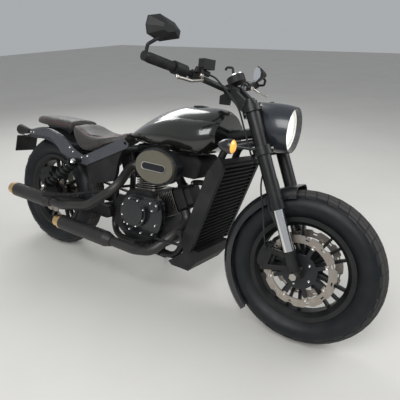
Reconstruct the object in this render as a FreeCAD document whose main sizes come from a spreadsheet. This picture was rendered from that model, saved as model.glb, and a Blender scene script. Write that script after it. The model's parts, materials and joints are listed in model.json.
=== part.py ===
import FreeCAD, Part
import math
import os
import Sketcher

# Cruiser motorcycle parked on its side stand.
# Bike frame: X forward, Y to the rider's left, Z up, origin on the ground under the rear axle.
# Every piece is modelled on the upright bike, then leaned about the ground line onto the stand.

os.makedirs("parts", exist_ok=True)
doc = FreeCAD.newDocument("cruiser_motorcycle")
V = FreeCAD.Vector

# Driving dimensions: name, value in millimetres, degrees or count, meaning
SIZES = (
    ("wheelbase", 1505, "rear axle to front axle"),
    ("lean_angle", 13, "parked lean to the left"),
    ("steer_angle", 2, "steering turned left as it rests"),
    ("rake", 25, "steering axis back from the vertical"),
    ("fork_offset", 40, "fork legs ahead of the steering axis"),
    ("seat_gap", 0.3, "gap between pieces that seat on each other"),
    ("pin_play", 0.5, "running play round pins and axles"),
    ("front_tyre_radius", 320, "front tyre over the tread"),
    ("front_tyre_width", 130, "front tyre section"),
    ("front_section", 117, "tread to bead seat of the front tyre"),
    ("rear_tyre_radius", 323, "rear tyre over the tread"),
    ("rear_tyre_width", 150, "rear tyre section"),
    ("rear_section", 120, "tread to bead seat of the rear tyre"),
    ("crown_radius", 68, "tread crown across the tyre"),
    ("crown_angle", 42, "half angle of the tread crown"),
    ("tyre_wall", 12, "tyre thickness"),
    ("flange_height", 14, "rim flange above the bead seat"),
    ("flange_thick", 5, "rim flange thickness"),
    ("bead_width", 14, "bead seat width"),
    ("rim_well", 12, "drop centre below the bead seat"),
    ("rim_depth", 22, "bead seat to the inner face of the rim"),
    ("front_rim_width", 76, "front rim between flanges"),
    ("rear_rim_width", 98, "rear rim between flanges"),
    ("spoke_groups", 5, "groups of cast spokes"),
    ("spoke_pitch", 16, "angle between the spokes of a group"),
    ("spoke_root", 15, "spoke width at the hub"),
    ("spoke_tip", 10, "spoke width at the rim"),
    ("spoke_thick", 20, "spoke thickness along the axle"),
    ("front_hub_radius", 36, "front hub barrel"),
    ("front_hub_half", 52, "front hub half length"),
    ("rear_hub_radius", 44, "rear hub barrel"),
    ("rear_hub_half", 60, "rear hub half length"),
    ("axle_radius", 10, "wheel axles"),
    ("axle_nut_radius", 15, "axle nuts"),
    ("axle_nut_length", 12, "axle nuts"),
    ("spacer_radius", 16, "wheel spacers"),
    ("front_disc_radius", 148, "front brake discs"),
    ("rear_disc_radius", 122, "rear brake disc"),
    ("disc_band", 32, "swept band of a disc"),
    ("disc_thick", 5, "disc thickness"),
    ("disc_waves", 12, "scallops round a disc"),
    ("wave_radius", 22, "scallop radius"),
    ("wave_depth", 8, "scallop depth"),
    ("slot_radius", 3, "disc slot half width"),
    ("slot_length", 16, "disc slot between its end centres"),
    ("carrier_thick", 8, "disc carrier thickness"),
    ("carrier_arms", 8, "arms of a disc carrier"),
    ("carrier_arm_width", 16, "arm of a disc carrier"),
    ("button_radius", 7, "disc button"),
    ("button_height", 3, "disc button above the carrier"),
    ("caliper_half", 52, "caliper half length round the disc"),
    ("caliper_reach", 44, "caliper inside the disc's edge"),
    ("caliper_rise", 20, "caliper outside the disc's edge"),
    ("caliper_thick", 44, "caliper across the disc"),
    ("caliper_slot", 8, "slot for the disc"),
    ("caliper_lug", 38, "caliper bolts either side of its middle"),
    ("caliper_bolt", 9, "caliper bolt bosses"),
    ("piston_radius", 15, "piston caps"),
    ("piston_pitch", 24, "piston caps either side of the caliper's middle"),
    ("front_caliper_angle", 52, "front calipers behind the fork line"),
    ("rear_caliper_angle", 20, "rear caliper behind the vertical"),
    ("lug_plate", 12, "caliper plates of the fork feet"),
    ("bracket_thick", 8, "rear caliper's bracket"),
    ("fork_leg_y", 105, "fork leg from the centre plane"),
    ("leg_cap_radius", 20, "caps on the fork legs"),
    ("leg_cap_height", 10, "caps on the fork legs"),
    ("outer_tube_radius", 27, "fork outer tube"),
    ("outer_tube_start", 262, "lower end of the outer tube above the axle"),
    ("seal_radius", 30, "collar at the lower end of the outer tube"),
    ("seal_height", 34, "collar at the lower end of the outer tube"),
    ("inner_tube_radius", 21, "fork inner tube"),
    ("inner_tube_engaged", 60, "inner tube inside the outer tube"),
    ("foot_top", 96, "top of the axle foot above the axle"),
    ("foot_radius", 25, "axle boss of the foot"),
    ("foot_neck", 22, "foot where it takes the inner tube"),
    ("foot_half", 20, "axle boss half width"),
    ("clamp_lower", 480, "underside of the lower clamp above the axle"),
    ("clamp_lower_thick", 34, "lower clamp"),
    ("clamp_upper", 650, "underside of the upper clamp above the axle"),
    ("clamp_upper_thick", 26, "upper clamp"),
    ("fork_top_rise", 14, "top of the fork legs above the upper clamp"),
    ("clamp_ear_radius", 38, "clamp round a fork leg"),
    ("clamp_web_half", 26, "clamp between the fork legs, half width"),
    ("clamp_front", 20, "front edge of the clamps between the legs"),
    ("stem_radius", 15, "steering stem"),
    ("head_radius", 27, "head tube"),
    ("bar_radius", 12, "handlebar tube"),
    ("bar_half", 452, "half width of the handlebar"),
    ("bar_end_x", 978, "bar end"),
    ("bar_end_z", 1046, "bar end"),
    ("bar_bend_x", 1010, "outer bend of the bar"),
    ("bar_bend_y", 250, "outer bend of the bar"),
    ("bar_bend_z", 1024, "outer bend of the bar"),
    ("bar_knee_y", 85, "inner bend of the bar"),
    ("bar_clamp_x", 1088, "middle of the bar"),
    ("bar_clamp_z", 985, "middle of the bar"),
    ("bar_arc", 60, "bend radius of the bar"),
    ("riser_y", 46, "riser from the centre plane"),
    ("riser_width", 30, "riser along the bar"),
    ("riser_cap_radius", 22, "riser cap round the bar"),
    ("grip_radius", 17, "rubber grip"),
    ("grip_length", 118, "rubber grip"),
    ("perch_y", 225, "lever perch from the centre plane"),
    ("perch_radius", 19, "lever perch round the bar"),
    ("perch_width", 24, "lever perch along the bar"),
    ("pivot_radius", 10, "lever pivot"),
    ("lever_radius", 5.5, "lever"),
    ("lever_ball", 8, "ball at the lever's end"),
    ("switch_radius", 23.5, "switch housing round the bar"),
    ("switch_start", 268, "inner end of the switch housing"),
    ("switch_end", 328, "outer end of the switch housing"),
    ("master_radius", 11, "master cylinder"),
    ("master_length", 60, "master cylinder"),
    ("gauge_radius", 38, "instrument"),
    ("gauge_depth", 30, "instrument"),
    ("gauge_tilt", 30, "instrument leaned back towards the rider"),
    ("plug_radius", 16, "bar end plugs"),
    ("plug_length", 16, "bar end plugs"),
    ("mirror_stem", 6, "mirror stem"),
    ("mirror_rim", 8, "edge of the mirror shell"),
    ("mirror_depth", 34, "mirror shell behind its edge"),
    ("lens_x", 1372, "headlight mouth"),
    ("lens_z", 858, "headlight centre"),
    ("cowl_mouth", 90, "radius of the headlight mouth"),
    ("cowl_wall", 4, "cowl wall"),
    ("lens_recess", 22, "lens behind the mouth"),
    ("lens_radius", 72, "headlight lens"),
    ("lens_bulge", 10, "lens dome"),
    ("signal_x", 1262, "front indicators, back of the lens"),
    ("signal_y", 300, "front indicators"),
    ("signal_z", 785, "front indicators"),
    ("signal_radius", 25, "front indicators"),
    ("signal_length", 60, "front indicators"),
    ("signal_stalk", 6, "stalks of the front indicators"),
    ("signal_dome", 10, "lens domes of the indicators"),
    ("crank_x", 700, "crankshaft"),
    ("crank_z", 372, "crankshaft"),
    ("rear_tilt", 6, "rear cylinder back from the vertical"),
    ("front_tilt", 62, "front cylinder forward from the vertical"),
    ("deck_height", 108, "crankshaft to the cylinder bases"),
    ("deck_edge", 3, "crankcase deck beyond the fins"),
    ("barrel_length", 92, "cylinder barrel"),
    ("head_length", 52, "cylinder head"),
    ("rocker_length", 34, "rocker cover"),
    ("fin_half_x", 62, "fins along the bike, half length"),
    ("fin_half_y", 58, "fins across the bike, half width"),
    ("fin_corner", 18, "fin corner radius"),
    ("fin_thick", 3, "fin thickness"),
    ("fin_pitch", 10, "fin spacing"),
    ("barrel_radius", 48, "cylinder barrel"),
    ("case_half", 96, "crankcase half width"),
    ("case_floor", 222, "underside of the crankcase"),
    ("case_front", 868, "front of the crankcase"),
    ("case_back", 532, "back of the crankcase"),
    ("gearbox_top", 432, "top of the gearbox"),
    ("cover_reach", 30, "side cover beyond the crankcase"),
    ("clutch_radius", 75, "round clutch cover"),
    ("clutch_reach", 28, "clutch cover beyond the side cover"),
    ("pump_radius", 28, "small round cover"),
    ("pump_x", 815, "small round cover"),
    ("pump_z", 436, "small round cover"),
    ("intake_x", 812, "intake between the cylinders"),
    ("intake_z", 606, "intake between the cylinders"),
    ("intake_radius", 30, "intake tube"),
    ("flange_step", 10, "intake flanges"),
    ("air_x", 862, "air cleaner centre"),
    ("air_z", 636, "air cleaner centre"),
    ("air_half_x", 112, "air cleaner half length"),
    ("air_half_z", 80, "air cleaner half height"),
    ("air_inner", 160, "back of the air cleaner from the centre plane"),
    ("air_outer", 204, "front of the air cleaner's ring"),
    ("air_lip", 10, "ring round the air cleaner's face"),
    ("air_face", 16, "face beyond the ring"),
    ("shock_y", 176, "shock absorber from the centre plane"),
    ("shock_top_x", 316, "upper shock mount"),
    ("shock_top_drop", 129, "upper shock mount below the fender's crest"),
    ("shock_low_x", 86, "lower shock mount"),
    ("shock_low_rise", 69, "lower shock mount above the rear axle"),
    ("shock_eye", 15, "shock eye radius"),
    ("shock_body", 15, "damper body radius"),
    ("shock_stud", 8, "studs that carry the shocks"),
    ("spring_radius", 24, "spring coil"),
    ("spring_wire", 4.5, "spring wire radius"),
    ("spring_turns", 7, "coils of the spring"),
    ("collar_radius", 30, "spring seats"),
    ("arm_inner", 104, "inner face of the swing arm"),
    ("arm_thick", 28, "swing arm blade"),
    ("pivot_x", 508, "swing arm pivot"),
    ("pivot_z", 332, "swing arm pivot"),
    ("arm_root", 30, "swing arm half height at the pivot"),
    ("arm_tip", 24, "swing arm half height at the axle"),
    ("sprocket_radius", 104, "rear sprocket over its teeth"),
    ("drive_radius", 38, "drive sprocket over its teeth"),
    ("drive_x", 556, "drive sprocket"),
    ("drive_z", 342, "drive sprocket"),
    ("drive_pocket", 60, "room for the chain in the crankcase"),
    ("chain_y", 89, "chain line"),
    ("chain_width", 14, "chain"),
    ("chain_height", 12, "chain"),
    ("sprocket_thick", 7, "sprocket"),
    ("sprocket_teeth", 42, "rear sprocket"),
    ("tooth_depth", 6, "sprocket teeth"),
    ("radiator_tilt", 16, "radiator leaned forward at its top"),
    ("radiator_x", 1060, "front of the radiator at its foot"),
    ("radiator_z", 292, "foot of the radiator"),
    ("radiator_height", 420, "radiator along its own slope"),
    ("radiator_half", 148, "radiator core half width"),
    ("radiator_thick", 38, "radiator core"),
    ("slat_count", 22, "slats in front of the core"),
    ("slat_thick", 3, "slat"),
    ("slat_depth", 12, "slat"),
    ("guard_thick", 22, "side cover of the radiator"),
    ("guard_depth", 62, "side cover of the radiator, fore and aft"),
    ("belly_half", 134, "belly pan half width"),
    ("belly_floor", 187, "belly pan underside"),
    ("belly_gap", 57, "belly pan ahead of the crankcase"),
    ("belly_front", 1082, "front of the belly pan"),
    ("tube_radius", 16, "frame tubes"),
    ("bridge_radius", 12, "cross tubes of the frame"),
    ("spine_radius", 22, "frame backbone"),
    ("spine_back_x", 590, "rear end of the backbone"),
    ("spine_back_z", 668, "rear end of the backbone"),
    ("upright_x", 500, "frame uprights behind the engine"),
    ("upright_y", 62, "frame uprights behind the engine"),
    ("rail_knee_x", 470, "bend of the seat rails"),
    ("rail_knee_drop", 55, "bend of the seat rails below the fender's crest"),
    ("rail_tail_drop", 117, "seat rails below the crest at the shock mount"),
    ("saddle_rod_x", 400, "cross tube under the saddle"),
    ("saddle_rod_drop", 69, "cross tube under the saddle below the fender's crest"),
    ("plate_y", 138, "inner face of the side plates"),
    ("plate_thick", 6, "side plates"),
    ("plate_hole", 9, "hole in the side plate"),
    ("panel_inner", 118, "inner face of the side panels"),
    ("front_fender_gap", 15, "front fender above the tread"),
    ("front_fender_half", 74, "front fender half width"),
    ("front_fender_skirt", 42, "front fender side skirt"),
    ("front_fender_front", 14, "front edge of the front fender ahead of the fork line"),
    ("front_fender_sweep", 128, "arc of the front fender"),
    ("stay_thick", 4.4, "stays of the front fender"),
    ("rear_fender_gap", 46, "rear fender above the tread"),
    ("rear_fender_skirt", 60, "rear fender side skirt"),
    ("rear_fender_front", 44, "front edge of the rear fender ahead of the vertical"),
    ("rear_fender_back", 18, "end of the rear fender's arc behind the vertical"),
    ("rear_fender_tail", 130, "straight tail of the rear fender"),
    ("rear_skirt_rise", 305, "lower edge of the tail above the rear axle"),
    ("fender_wall", 3, "fender sheet"),
    ("fender_corner", 34, "fender edge rounding"),
    ("muffler_radius", 38, "mufflers"),
    ("muffler_y", 222, "mufflers from the centre plane"),
    ("pipe_radius", 23, "exhaust pipes"),
    ("tip_radius", 31, "muffler tips"),
    ("tip_length", 26, "muffler tips"),
    ("tip_bore", 24, "bore of the muffler tips"),
    ("tip_bore_depth", 70, "bore of the muffler tips"),
    ("upper_front_x", 200, "front of the upper muffler"),
    ("upper_back_x", -128, "rear of the upper muffler"),
    ("upper_z", 330, "upper muffler"),
    ("lower_front_x", 650, "front of the lower muffler"),
    ("lower_back_x", 268, "rear of the lower muffler"),
    ("lower_z", 238, "lower muffler"),
    ("port_length", 48, "straight pipe out of a cylinder head"),
    ("cap_x", 930, "filler cap"),
    ("cap_radius", 34.7, "filler cap"),
    ("cap_recess", 5, "recess for the filler cap"),
    ("hose_radius", 3.5, "brake hoses"),
    ("splitter_radius", 10, "hose splitter under the lower clamp"),
    ("peg_radius", 14, "foot pegs"),
    ("peg_ribs", 6, "ribs of a foot peg"),
    ("hanger_radius", 8, "hangers of the passenger pegs"),
    ("stand_pivot_x", 600, "side stand pivot"),
    ("stand_pivot_out", 32, "side stand pivot from the frame rail's centre"),
    ("stand_foot_x", 646, "side stand foot"),
    ("stand_foot_y", 216, "side stand foot from the tyres' line"),
    ("stand_foot_half", 24, "side stand foot"),
    ("stand_foot_thick", 7, "side stand foot"),
    ("stand_radius", 10, "side stand leg"),
    ("stand_eye", 16, "eye of the side stand"),
)

sheet = doc.addObject("Spreadsheet::Sheet", "sizes")
for row, (name, value, meaning) in enumerate(SIZES, 1):
    sheet.set("A%d" % row, meaning)
    sheet.set("B%d" % row, str(value))
    sheet.setAlias("B%d" % row, name)
doc.recompute()


class Size:
    """A number together with the formula that reads it from the sheet."""

    def __init__(self, value, text):
        self.value = float(value)
        self.text = text

    def __float__(self):
        return self.value

    def __neg__(self):
        return Size(-self.value, "-(%s)" % self.text)

    def __add__(self, other):
        other = sized(other)
        return Size(self.value + other.value, "(%s + %s)" % (self.text, other.text))

    def __sub__(self, other):
        other = sized(other)
        return Size(self.value - other.value, "(%s - %s)" % (self.text, other.text))

    def __mul__(self, other):
        other = sized(other)
        return Size(self.value * other.value, "%s * %s" % (self.text, other.text))

    def __truediv__(self, other):
        other = sized(other)
        return Size(self.value / other.value, "%s / (%s)" % (self.text, other.text))

    def __radd__(self, other):
        return sized(other) + self

    def __rsub__(self, other):
        return sized(other) - self

    def __rmul__(self, other):
        return sized(other) * self


def sized(number):
    """A plain number as a Size."""
    return number if isinstance(number, Size) else Size(number, "%.9g" % number)


def sine(angle):
    """Sine of an angle in degrees."""
    angle = sized(angle)
    return Size(math.sin(math.radians(angle.value)), "sin(%s)" % angle.text)


def cosine(angle):
    """Cosine of an angle in degrees."""
    angle = sized(angle)
    return Size(math.cos(math.radians(angle.value)), "cos(%s)" % angle.text)


class Sheet:
    """Attribute access to the sizes: s.wheelbase is bound to the cell of that name."""

    def __getattr__(self, name):
        return Size(sheet.get(name), "sizes." + name)


s = Sheet()


def bind(obj, prop, size):
    """Drive one property of an object from the sheet."""
    obj.setExpression(prop, sized(size).text)


class Piece:
    """One sub-part drawn with sketches and features in its own body."""

    def __init__(self, label):
        self.body = doc.addObject("PartDesign::Body", label)
        self.body.Label = label
        self.label = label
        self.count = 0

    def origin(self, role):
        """An origin plane or axis of the body."""
        return [f for f in self.body.Origin.OriginFeatures if f.Role == role][0]

    def name(self, kind):
        """A fresh name for the next feature."""
        self.count += 1
        return "%s_%s_%d" % (self.label, kind, self.count)

    def sketch(self, plane, at=0):
        """An empty sketch on an origin plane, moved along the plane's normal."""
        sketch = self.body.newObject("Sketcher::SketchObject", self.name("sketch"))
        sketch.AttachmentSupport = [(self.origin(plane + "_Plane"), "")]
        sketch.MapMode = "FlatFace"
        bind(sketch, "AttachmentOffset.Base.z", at)
        return sketch

    def outline(self, plane, corners, at=0):
        """Closed outline; a corner's third value is the radius of the arc to the next corner,
        positive where the arc turns left."""
        sketch = self.sketch(plane, at)
        total = len(corners)
        ends = []
        for index, corner in enumerate(corners):
            after = corners[(index + 1) % total]
            start = V(float(corner[0]), float(corner[1]), 0)
            end = V(float(after[0]), float(after[1]), 0)
            if len(corner) == 3:
                ends.append(self.arc(sketch, start, end, sized(corner[2])))
            else:
                edge = sketch.addGeometry(Part.LineSegment(start, end))
                ends.append((edge, 1, 2))
        for index in range(total):
            edge, first, last = ends[index]
            after, after_first, after_last = ends[(index + 1) % total]
            sketch.addConstraint(Sketcher.Constraint("Coincident", edge, last, after, after_first))
        for (edge, first, last), corner in zip(ends, corners):
            self.fix(sketch, edge, first, corner[0], corner[1])
        return sketch

    def arc(self, sketch, start, end, radius):
        """One arc of an outline; returns its edge and which of its ends come first and last."""
        chord = end - start
        reach = abs(radius.value)
        rise = math.sqrt(max(reach * reach - chord.Length * chord.Length / 4, 0))
        side = V(-chord.y, chord.x, 0).normalize() * (rise if radius.value > 0 else -rise)
        centre = (start + end) * 0.5 + side
        first, last = (start, end) if radius.value > 0 else (end, start)
        turn = [math.atan2(point.y - centre.y, point.x - centre.x) for point in (first, last)]
        circle = Part.Circle(centre, V(0, 0, 1), reach)
        edge = sketch.addGeometry(Part.ArcOfCircle(circle, turn[0], turn[1]))
        number = sketch.addConstraint(Sketcher.Constraint("Radius", edge, reach))
        self.drive(sketch, number, radius if radius.value > 0 else -radius)
        return (edge, 1, 2) if radius.value > 0 else (edge, 2, 1)

    def fix(self, sketch, edge, point, x, y):
        """Hold one point of a sketch at sizes from the sheet."""
        for kind, size in (("DistanceX", sized(x)), ("DistanceY", sized(y))):
            number = sketch.addConstraint(Sketcher.Constraint(kind, -1, 1, edge, point, size.value))
            self.drive(sketch, number, size)

    def drive(self, sketch, number, size):
        """Drive one constraint from the sheet."""
        sketch.renameConstraint(number, "bound_%d" % number)
        sketch.setExpression("Constraints.bound_%d" % number, size.text)

    def circles(self, plane, places, at=0):
        """Sketch of circles given as (x, y, radius)."""
        sketch = self.sketch(plane, at)
        for x, y, radius in places:
            centre = V(float(x), float(y), 0)
            edge = sketch.addGeometry(Part.Circle(centre, V(0, 0, 1), float(radius)))
            self.fix(sketch, edge, 3, x, y)
            number = sketch.addConstraint(Sketcher.Constraint("Radius", edge, float(radius)))
            self.drive(sketch, number, sized(radius))
        return sketch

    def feature(self, kind, profile=None):
        """A feature of the body on a sketch."""
        feature = self.body.newObject("PartDesign::" + kind, self.name(kind.lower()))
        if profile is not None:
            feature.Profile = profile
            profile.Visibility = False
        return feature

    def pad(self, sketch, length, centred=False, backwards=False):
        """Extrude a sketch."""
        feature = self.feature("Pad", sketch)
        bind(feature, "Length", length)
        feature.SideType = "Symmetric" if centred else "One side"
        feature.Reversed = backwards
        return feature

    def pocket(self, sketch, length, centred=False, backwards=False):
        """Cut along a sketch."""
        feature = self.feature("Pocket", sketch)
        bind(feature, "Length", length)
        feature.SideType = "Symmetric" if centred else "One side"
        feature.Reversed = backwards
        return feature

    def revolve(self, sketch, axis="H_Axis", angle=360, backwards=False):
        """Turn a sketch about one of its own axes."""
        feature = self.feature("Revolution", sketch)
        feature.ReferenceAxis = (sketch, [axis])
        bind(feature, "Angle", angle)
        feature.Reversed = backwards
        return feature

    def polar(self, features, axis, count):
        """Repeat features round an origin axis."""
        pattern = self.feature("PolarPattern")
        pattern.Originals = features
        pattern.Axis = (self.origin(axis + "_Axis"), [""])
        pattern.Angle = 360
        bind(pattern, "Occurrences", count)
        self.body.Tip = pattern
        return pattern

    def row(self, features, axis, length, count):
        """Repeat features along an origin axis."""
        pattern = self.feature("LinearPattern")
        pattern.Originals = features
        pattern.Direction = (self.origin(axis + "_Axis"), [""])
        bind(pattern, "Length", length)
        bind(pattern, "Occurrences", count)
        self.body.Tip = pattern
        return pattern

    def mirror(self, features, plane):
        """Repeat features on the other side of an origin plane."""
        pattern = self.feature("Mirrored")
        pattern.Originals = features
        pattern.MirrorPlane = (self.origin(plane + "_Plane"), [""])
        self.body.Tip = pattern
        return pattern

    def round(self, feature, direction, radius, test=None):
        """Round the straight edges of a feature that run along a direction."""
        doc.recompute()
        names = []
        for number, edge in enumerate(feature.Shape.Edges, 1):
            if edge.Curve.TypeId != "Part::GeomLine":
                continue
            if abs(edge.tangentAt(edge.FirstParameter).dot(direction)) < 0.999:
                continue
            if test is None or test(edge.CenterOfMass):
                names.append("Edge%d" % number)
        fillet = self.feature("Fillet")
        fillet.Base = (feature, names)
        bind(fillet, "Radius", radius)
        return fillet


def made(kind, label, **sizes):
    """A Part primitive or boolean whose numbers are bound to the sheet."""
    obj = doc.addObject("Part::" + kind, label)
    obj.Label = label
    for prop, size in sizes.items():
        bind(obj, prop, size)
    return obj


def joined(label, pieces):
    """Several shapes fused into one sub-part."""
    fuse = doc.addObject("Part::MultiFuse", label)
    fuse.Label = label
    fuse.Shapes = pieces
    fuse.Refine = True
    return fuse


def cut(label, base, tool):
    """One shape less another."""
    obj = doc.addObject("Part::Cut", label)
    obj.Label = label
    obj.Base = base
    obj.Tool = tool
    return obj


def computed(label, shape):
    """A sub-part whose shape is worked out here from the sheet's sizes."""
    obj = doc.addObject("Part::Feature", label)
    obj.Label = label
    obj.Shape = shape
    return obj


def point(x, y, z):
    """A point from sizes."""
    return V(float(x), float(y), float(z))


def aim(start, end):
    """Placement at start with local Z towards end."""
    return FreeCAD.Placement(start, FreeCAD.Rotation(V(0, 0, 1), end - start))


def rod(label, start, end, radius):
    """A round bar between two points."""
    obj = made("Cylinder", label, Radius=radius)
    obj.Height = (end - start).Length
    obj.Placement = aim(start, end)
    return obj


def rounded_path(points, bends):
    """Straight runs joined by tangent arcs."""
    edges = []
    last = points[0]
    for index in range(1, len(points) - 1):
        corner = points[index]
        back = (points[index - 1] - corner).normalize()
        ahead = (points[index + 1] - corner).normalize()
        half = back.getAngle(ahead) / 2
        bend = bends[index - 1] if isinstance(bends, (list, tuple)) else bends
        setback = bend / math.tan(half)
        enter = corner + back * setback
        leave = corner + ahead * setback
        middle = corner + (back + ahead).normalize() * (bend / math.sin(half) - bend)
        edges.append(Part.LineSegment(last, enter).toShape())
        edges.append(Part.Arc(enter, middle, leave).toShape())
        last = leave
    edges.append(Part.LineSegment(last, points[-1]).toShape())
    return Part.Wire(edges)


def tube(label, points, bends, radius):
    """A round bar swept along straight runs and arcs."""
    path = computed(label + "_path", rounded_path(points, bends))
    section = made("Circle", label + "_section", Radius=radius)
    section.Placement = aim(points[0], points[1])
    sweep = doc.addObject("Part::Sweep", label)
    sweep.Label = label
    sweep.Sections = [section]
    sweep.Spine = (path, [])
    sweep.Solid = True
    sweep.Frenet = False
    return sweep


def loft(sections):
    """A smooth solid through closed sections."""
    return Part.makeLoft(sections, True, False)


def arc3(a, b, c):
    """Arc edge through three points."""
    return Part.Arc(a, b, c).toShape()


def line(a, b):
    """Straight edge."""
    return Part.LineSegment(a, b).toShape()


# Placements of the groups of pieces
NO_TURN = FreeCAD.Rotation()
steer_foot = point(s.wheelbase - s.fork_offset * cosine(s.rake), 0,
                   s.front_tyre_radius - s.fork_offset * sine(s.rake))
steer_direction = point(-sine(s.rake), 0, cosine(s.rake))
crown_lift = float(s.crown_radius * (1 - cosine(s.lean_angle)))
LEAN = FreeCAD.Placement(V(0, 0, crown_lift), FreeCAD.Rotation(V(1, 0, 0), -float(s.lean_angle)))
STEER = FreeCAD.Placement(V(0, 0, 0), FreeCAD.Rotation(steer_direction, float(s.steer_angle)),
                          steer_foot)
FORK = FreeCAD.Placement(steer_foot, FreeCAD.Rotation(V(0, 1, 0), -float(s.rake)))
GROUPS = {
    "chassis": LEAN,
    "ground": FreeCAD.Placement(),
    "bars": LEAN * STEER,
    "fork": LEAN * STEER * FORK,
    "front_wheel": LEAN * STEER * FORK * FreeCAD.Placement(point(s.fork_offset, 0, 0), NO_TURN),
    "rear_wheel": LEAN * FreeCAD.Placement(point(0, 0, s.rear_tyre_radius), NO_TURN),
}
nodes = []


def keep(obj, group, local=None):
    """Take an object as a sub-part: its group's placement and its own place in the group."""
    if isinstance(obj, Piece):
        obj = obj.body
    nodes.append((obj, group, local or FreeCAD.Placement()))


# Wheels


def tyre(label, group, radius, width, rim, rim_width):
    """Hollow tyre turned about the axle."""
    piece = Piece(label)
    bead = rim_width / 2 - s.seat_gap
    foot = rim + s.seat_gap
    flange = rim + s.flange_height + s.seat_gap
    edge_y = s.crown_radius * sine(s.crown_angle)
    edge_z = radius - s.crown_radius * (1 - cosine(s.crown_angle))
    rise = edge_z - flange
    bulge = width / 2 - (edge_y + bead) / 2
    side = (rise * rise / 4 + bulge * bulge) / (bulge * 2)
    toe = bead - s.tyre_wall
    inner_y = edge_y - s.tyre_wall / 2
    inner_z = edge_z - s.tyre_wall
    section = piece.outline("YZ", [
        (-bead, foot), (-bead, flange, -side), (-edge_y, edge_z, -s.crown_radius),
        (edge_y, edge_z, -side), (bead, flange), (bead, foot), (toe, foot), (toe, flange),
        (inner_y, inner_z, s.crown_radius), (-inner_y, inner_z), (-toe, flange), (-toe, foot)])
    piece.revolve(section)
    keep(piece, group)


def wheel(label, group, rim, rim_width, hub_radius, hub_half):
    """Cast wheel: rim, groups of three thin spokes, hub."""
    piece = Piece(label)
    half = rim_width / 2
    lip = half + s.flange_thick
    top = rim + s.flange_height
    well = rim - s.rim_well
    inner = rim - s.rim_depth
    seat = half - s.bead_width
    slope = seat - s.bead_width / 2
    section = piece.outline("YZ", [
        (-lip, top), (-half, top), (-half, rim), (-seat, rim), (-slope, well), (slope, well),
        (seat, rim), (half, rim), (half, top), (lip, top), (lip, rim - s.flange_thick),
        (seat, inner), (-seat, inner), (-lip, rim - s.flange_thick)])
    piece.revolve(section)
    spokes = []
    for step in (-1, 0, 1):
        angle = s.spoke_pitch * step
        root = hub_radius * 0.8
        tip = inner + s.rim_well / 2
        corners = []
        for reach, side in ((root, s.spoke_root), (tip, s.spoke_tip), (tip, -s.spoke_tip),
                            (root, -s.spoke_root)):
            corners.append((reach * sine(angle) + side * cosine(angle) / 2,
                            reach * cosine(angle) - side * sine(angle) / 2))
        spokes.append(piece.pad(piece.outline("XZ", corners), s.spoke_thick, centred=True))
    piece.polar(spokes, "Y", s.spoke_groups)
    piece.pad(piece.circles("XZ", [(0, 0, hub_radius)]), hub_half * 2, centred=True)
    piece.pocket(piece.circles("XZ", [(0, 0, s.axle_radius + s.pin_play)]), hub_half * 3,
                 centred=True)
    keep(piece, group)


def disc_middle(hub_half):
    """Distance of a disc's middle from the centre plane."""
    return hub_half + s.carrier_thick / 2 + s.seat_gap


def disc(label, group, radius, hub_half, both):
    """Petal disc on its carrier, on the right side of the hub or on both sides."""
    piece = Piece(label)
    centre = disc_middle(hub_half)
    inside = radius - s.disc_band
    band = piece.circles("XZ", [(0, 0, radius), (0, 0, inside)], centre - s.disc_thick / 2)
    piece.pad(band, s.disc_thick)
    wave = piece.circles("XZ", [(0, radius + s.wave_radius - s.wave_depth, s.wave_radius)], centre)
    cut_wave = piece.pocket(wave, s.disc_thick * 2, centred=True)
    slot_z = radius - s.disc_band / 2
    slot = piece.outline("XZ", [
        (-s.slot_length / 2, slot_z - s.slot_radius), (s.slot_length / 2, slot_z - s.slot_radius),
        (s.slot_length / 2, slot_z + s.slot_radius), (-s.slot_length / 2, slot_z + s.slot_radius)],
        centre)
    cut_slot = piece.pocket(slot, s.disc_thick * 2, centred=True)
    piece.polar([cut_wave, cut_slot], "Y", s.disc_waves)
    bore = s.front_hub_radius * 0.8
    web = piece.circles("XZ", [(0, 0, inside * 0.62), (0, 0, bore)],
                        centre - s.carrier_thick / 2)
    piece.pad(web, s.carrier_thick)
    arm = piece.outline("XZ", [
        (-s.carrier_arm_width / 2, inside * 0.5), (s.carrier_arm_width / 2, inside * 0.5),
        (s.carrier_arm_width / 2, inside + s.button_radius),
        (-s.carrier_arm_width / 2, inside + s.button_radius)], centre - s.carrier_thick / 2)
    arm_pad = piece.pad(arm, s.carrier_thick)
    button = piece.circles("XZ", [(0, inside, s.button_radius)],
                           centre - s.carrier_thick / 2)
    button_pad = piece.pad(button, s.carrier_thick + s.button_height)
    piece.polar([arm_pad, button_pad], "Y", s.carrier_arms)
    if both:
        pattern = piece.mirror([], "XZ")
        pattern.TransformMode = "Whole shape"
    keep(piece, group)


def sprocket():
    """Rear sprocket with its teeth."""
    piece = Piece("rear_sprocket")
    bore = s.rear_hub_radius * 0.7
    face = -s.chain_y - s.sprocket_thick / 2
    piece.pad(piece.circles("XZ", [(0, 0, s.sprocket_radius), (0, 0, bore)], face),
              s.sprocket_thick)
    tooth = piece.outline("XZ", [
        (-s.tooth_depth / 2, s.sprocket_radius + 1), (0, s.sprocket_radius - s.tooth_depth),
        (s.tooth_depth / 2, s.sprocket_radius + 1)], -s.chain_y)
    notch = piece.pocket(tooth, s.sprocket_thick * 2, centred=True)
    piece.polar([notch], "Y", s.sprocket_teeth)
    window = piece.circles("XZ", [(0, s.sprocket_radius * 0.66, s.sprocket_radius / 7)], -s.chain_y)
    hole = piece.pocket(window, s.sprocket_thick * 2, centred=True)
    piece.polar([hole], "Y", s.spoke_groups)
    piece.pad(piece.circles("XZ", [(0, 0, s.rear_hub_radius), (0, 0, bore)], face),
              s.chain_y - s.rear_hub_half + s.sprocket_thick / 2 - s.seat_gap)
    keep(piece, "rear_wheel")


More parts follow.
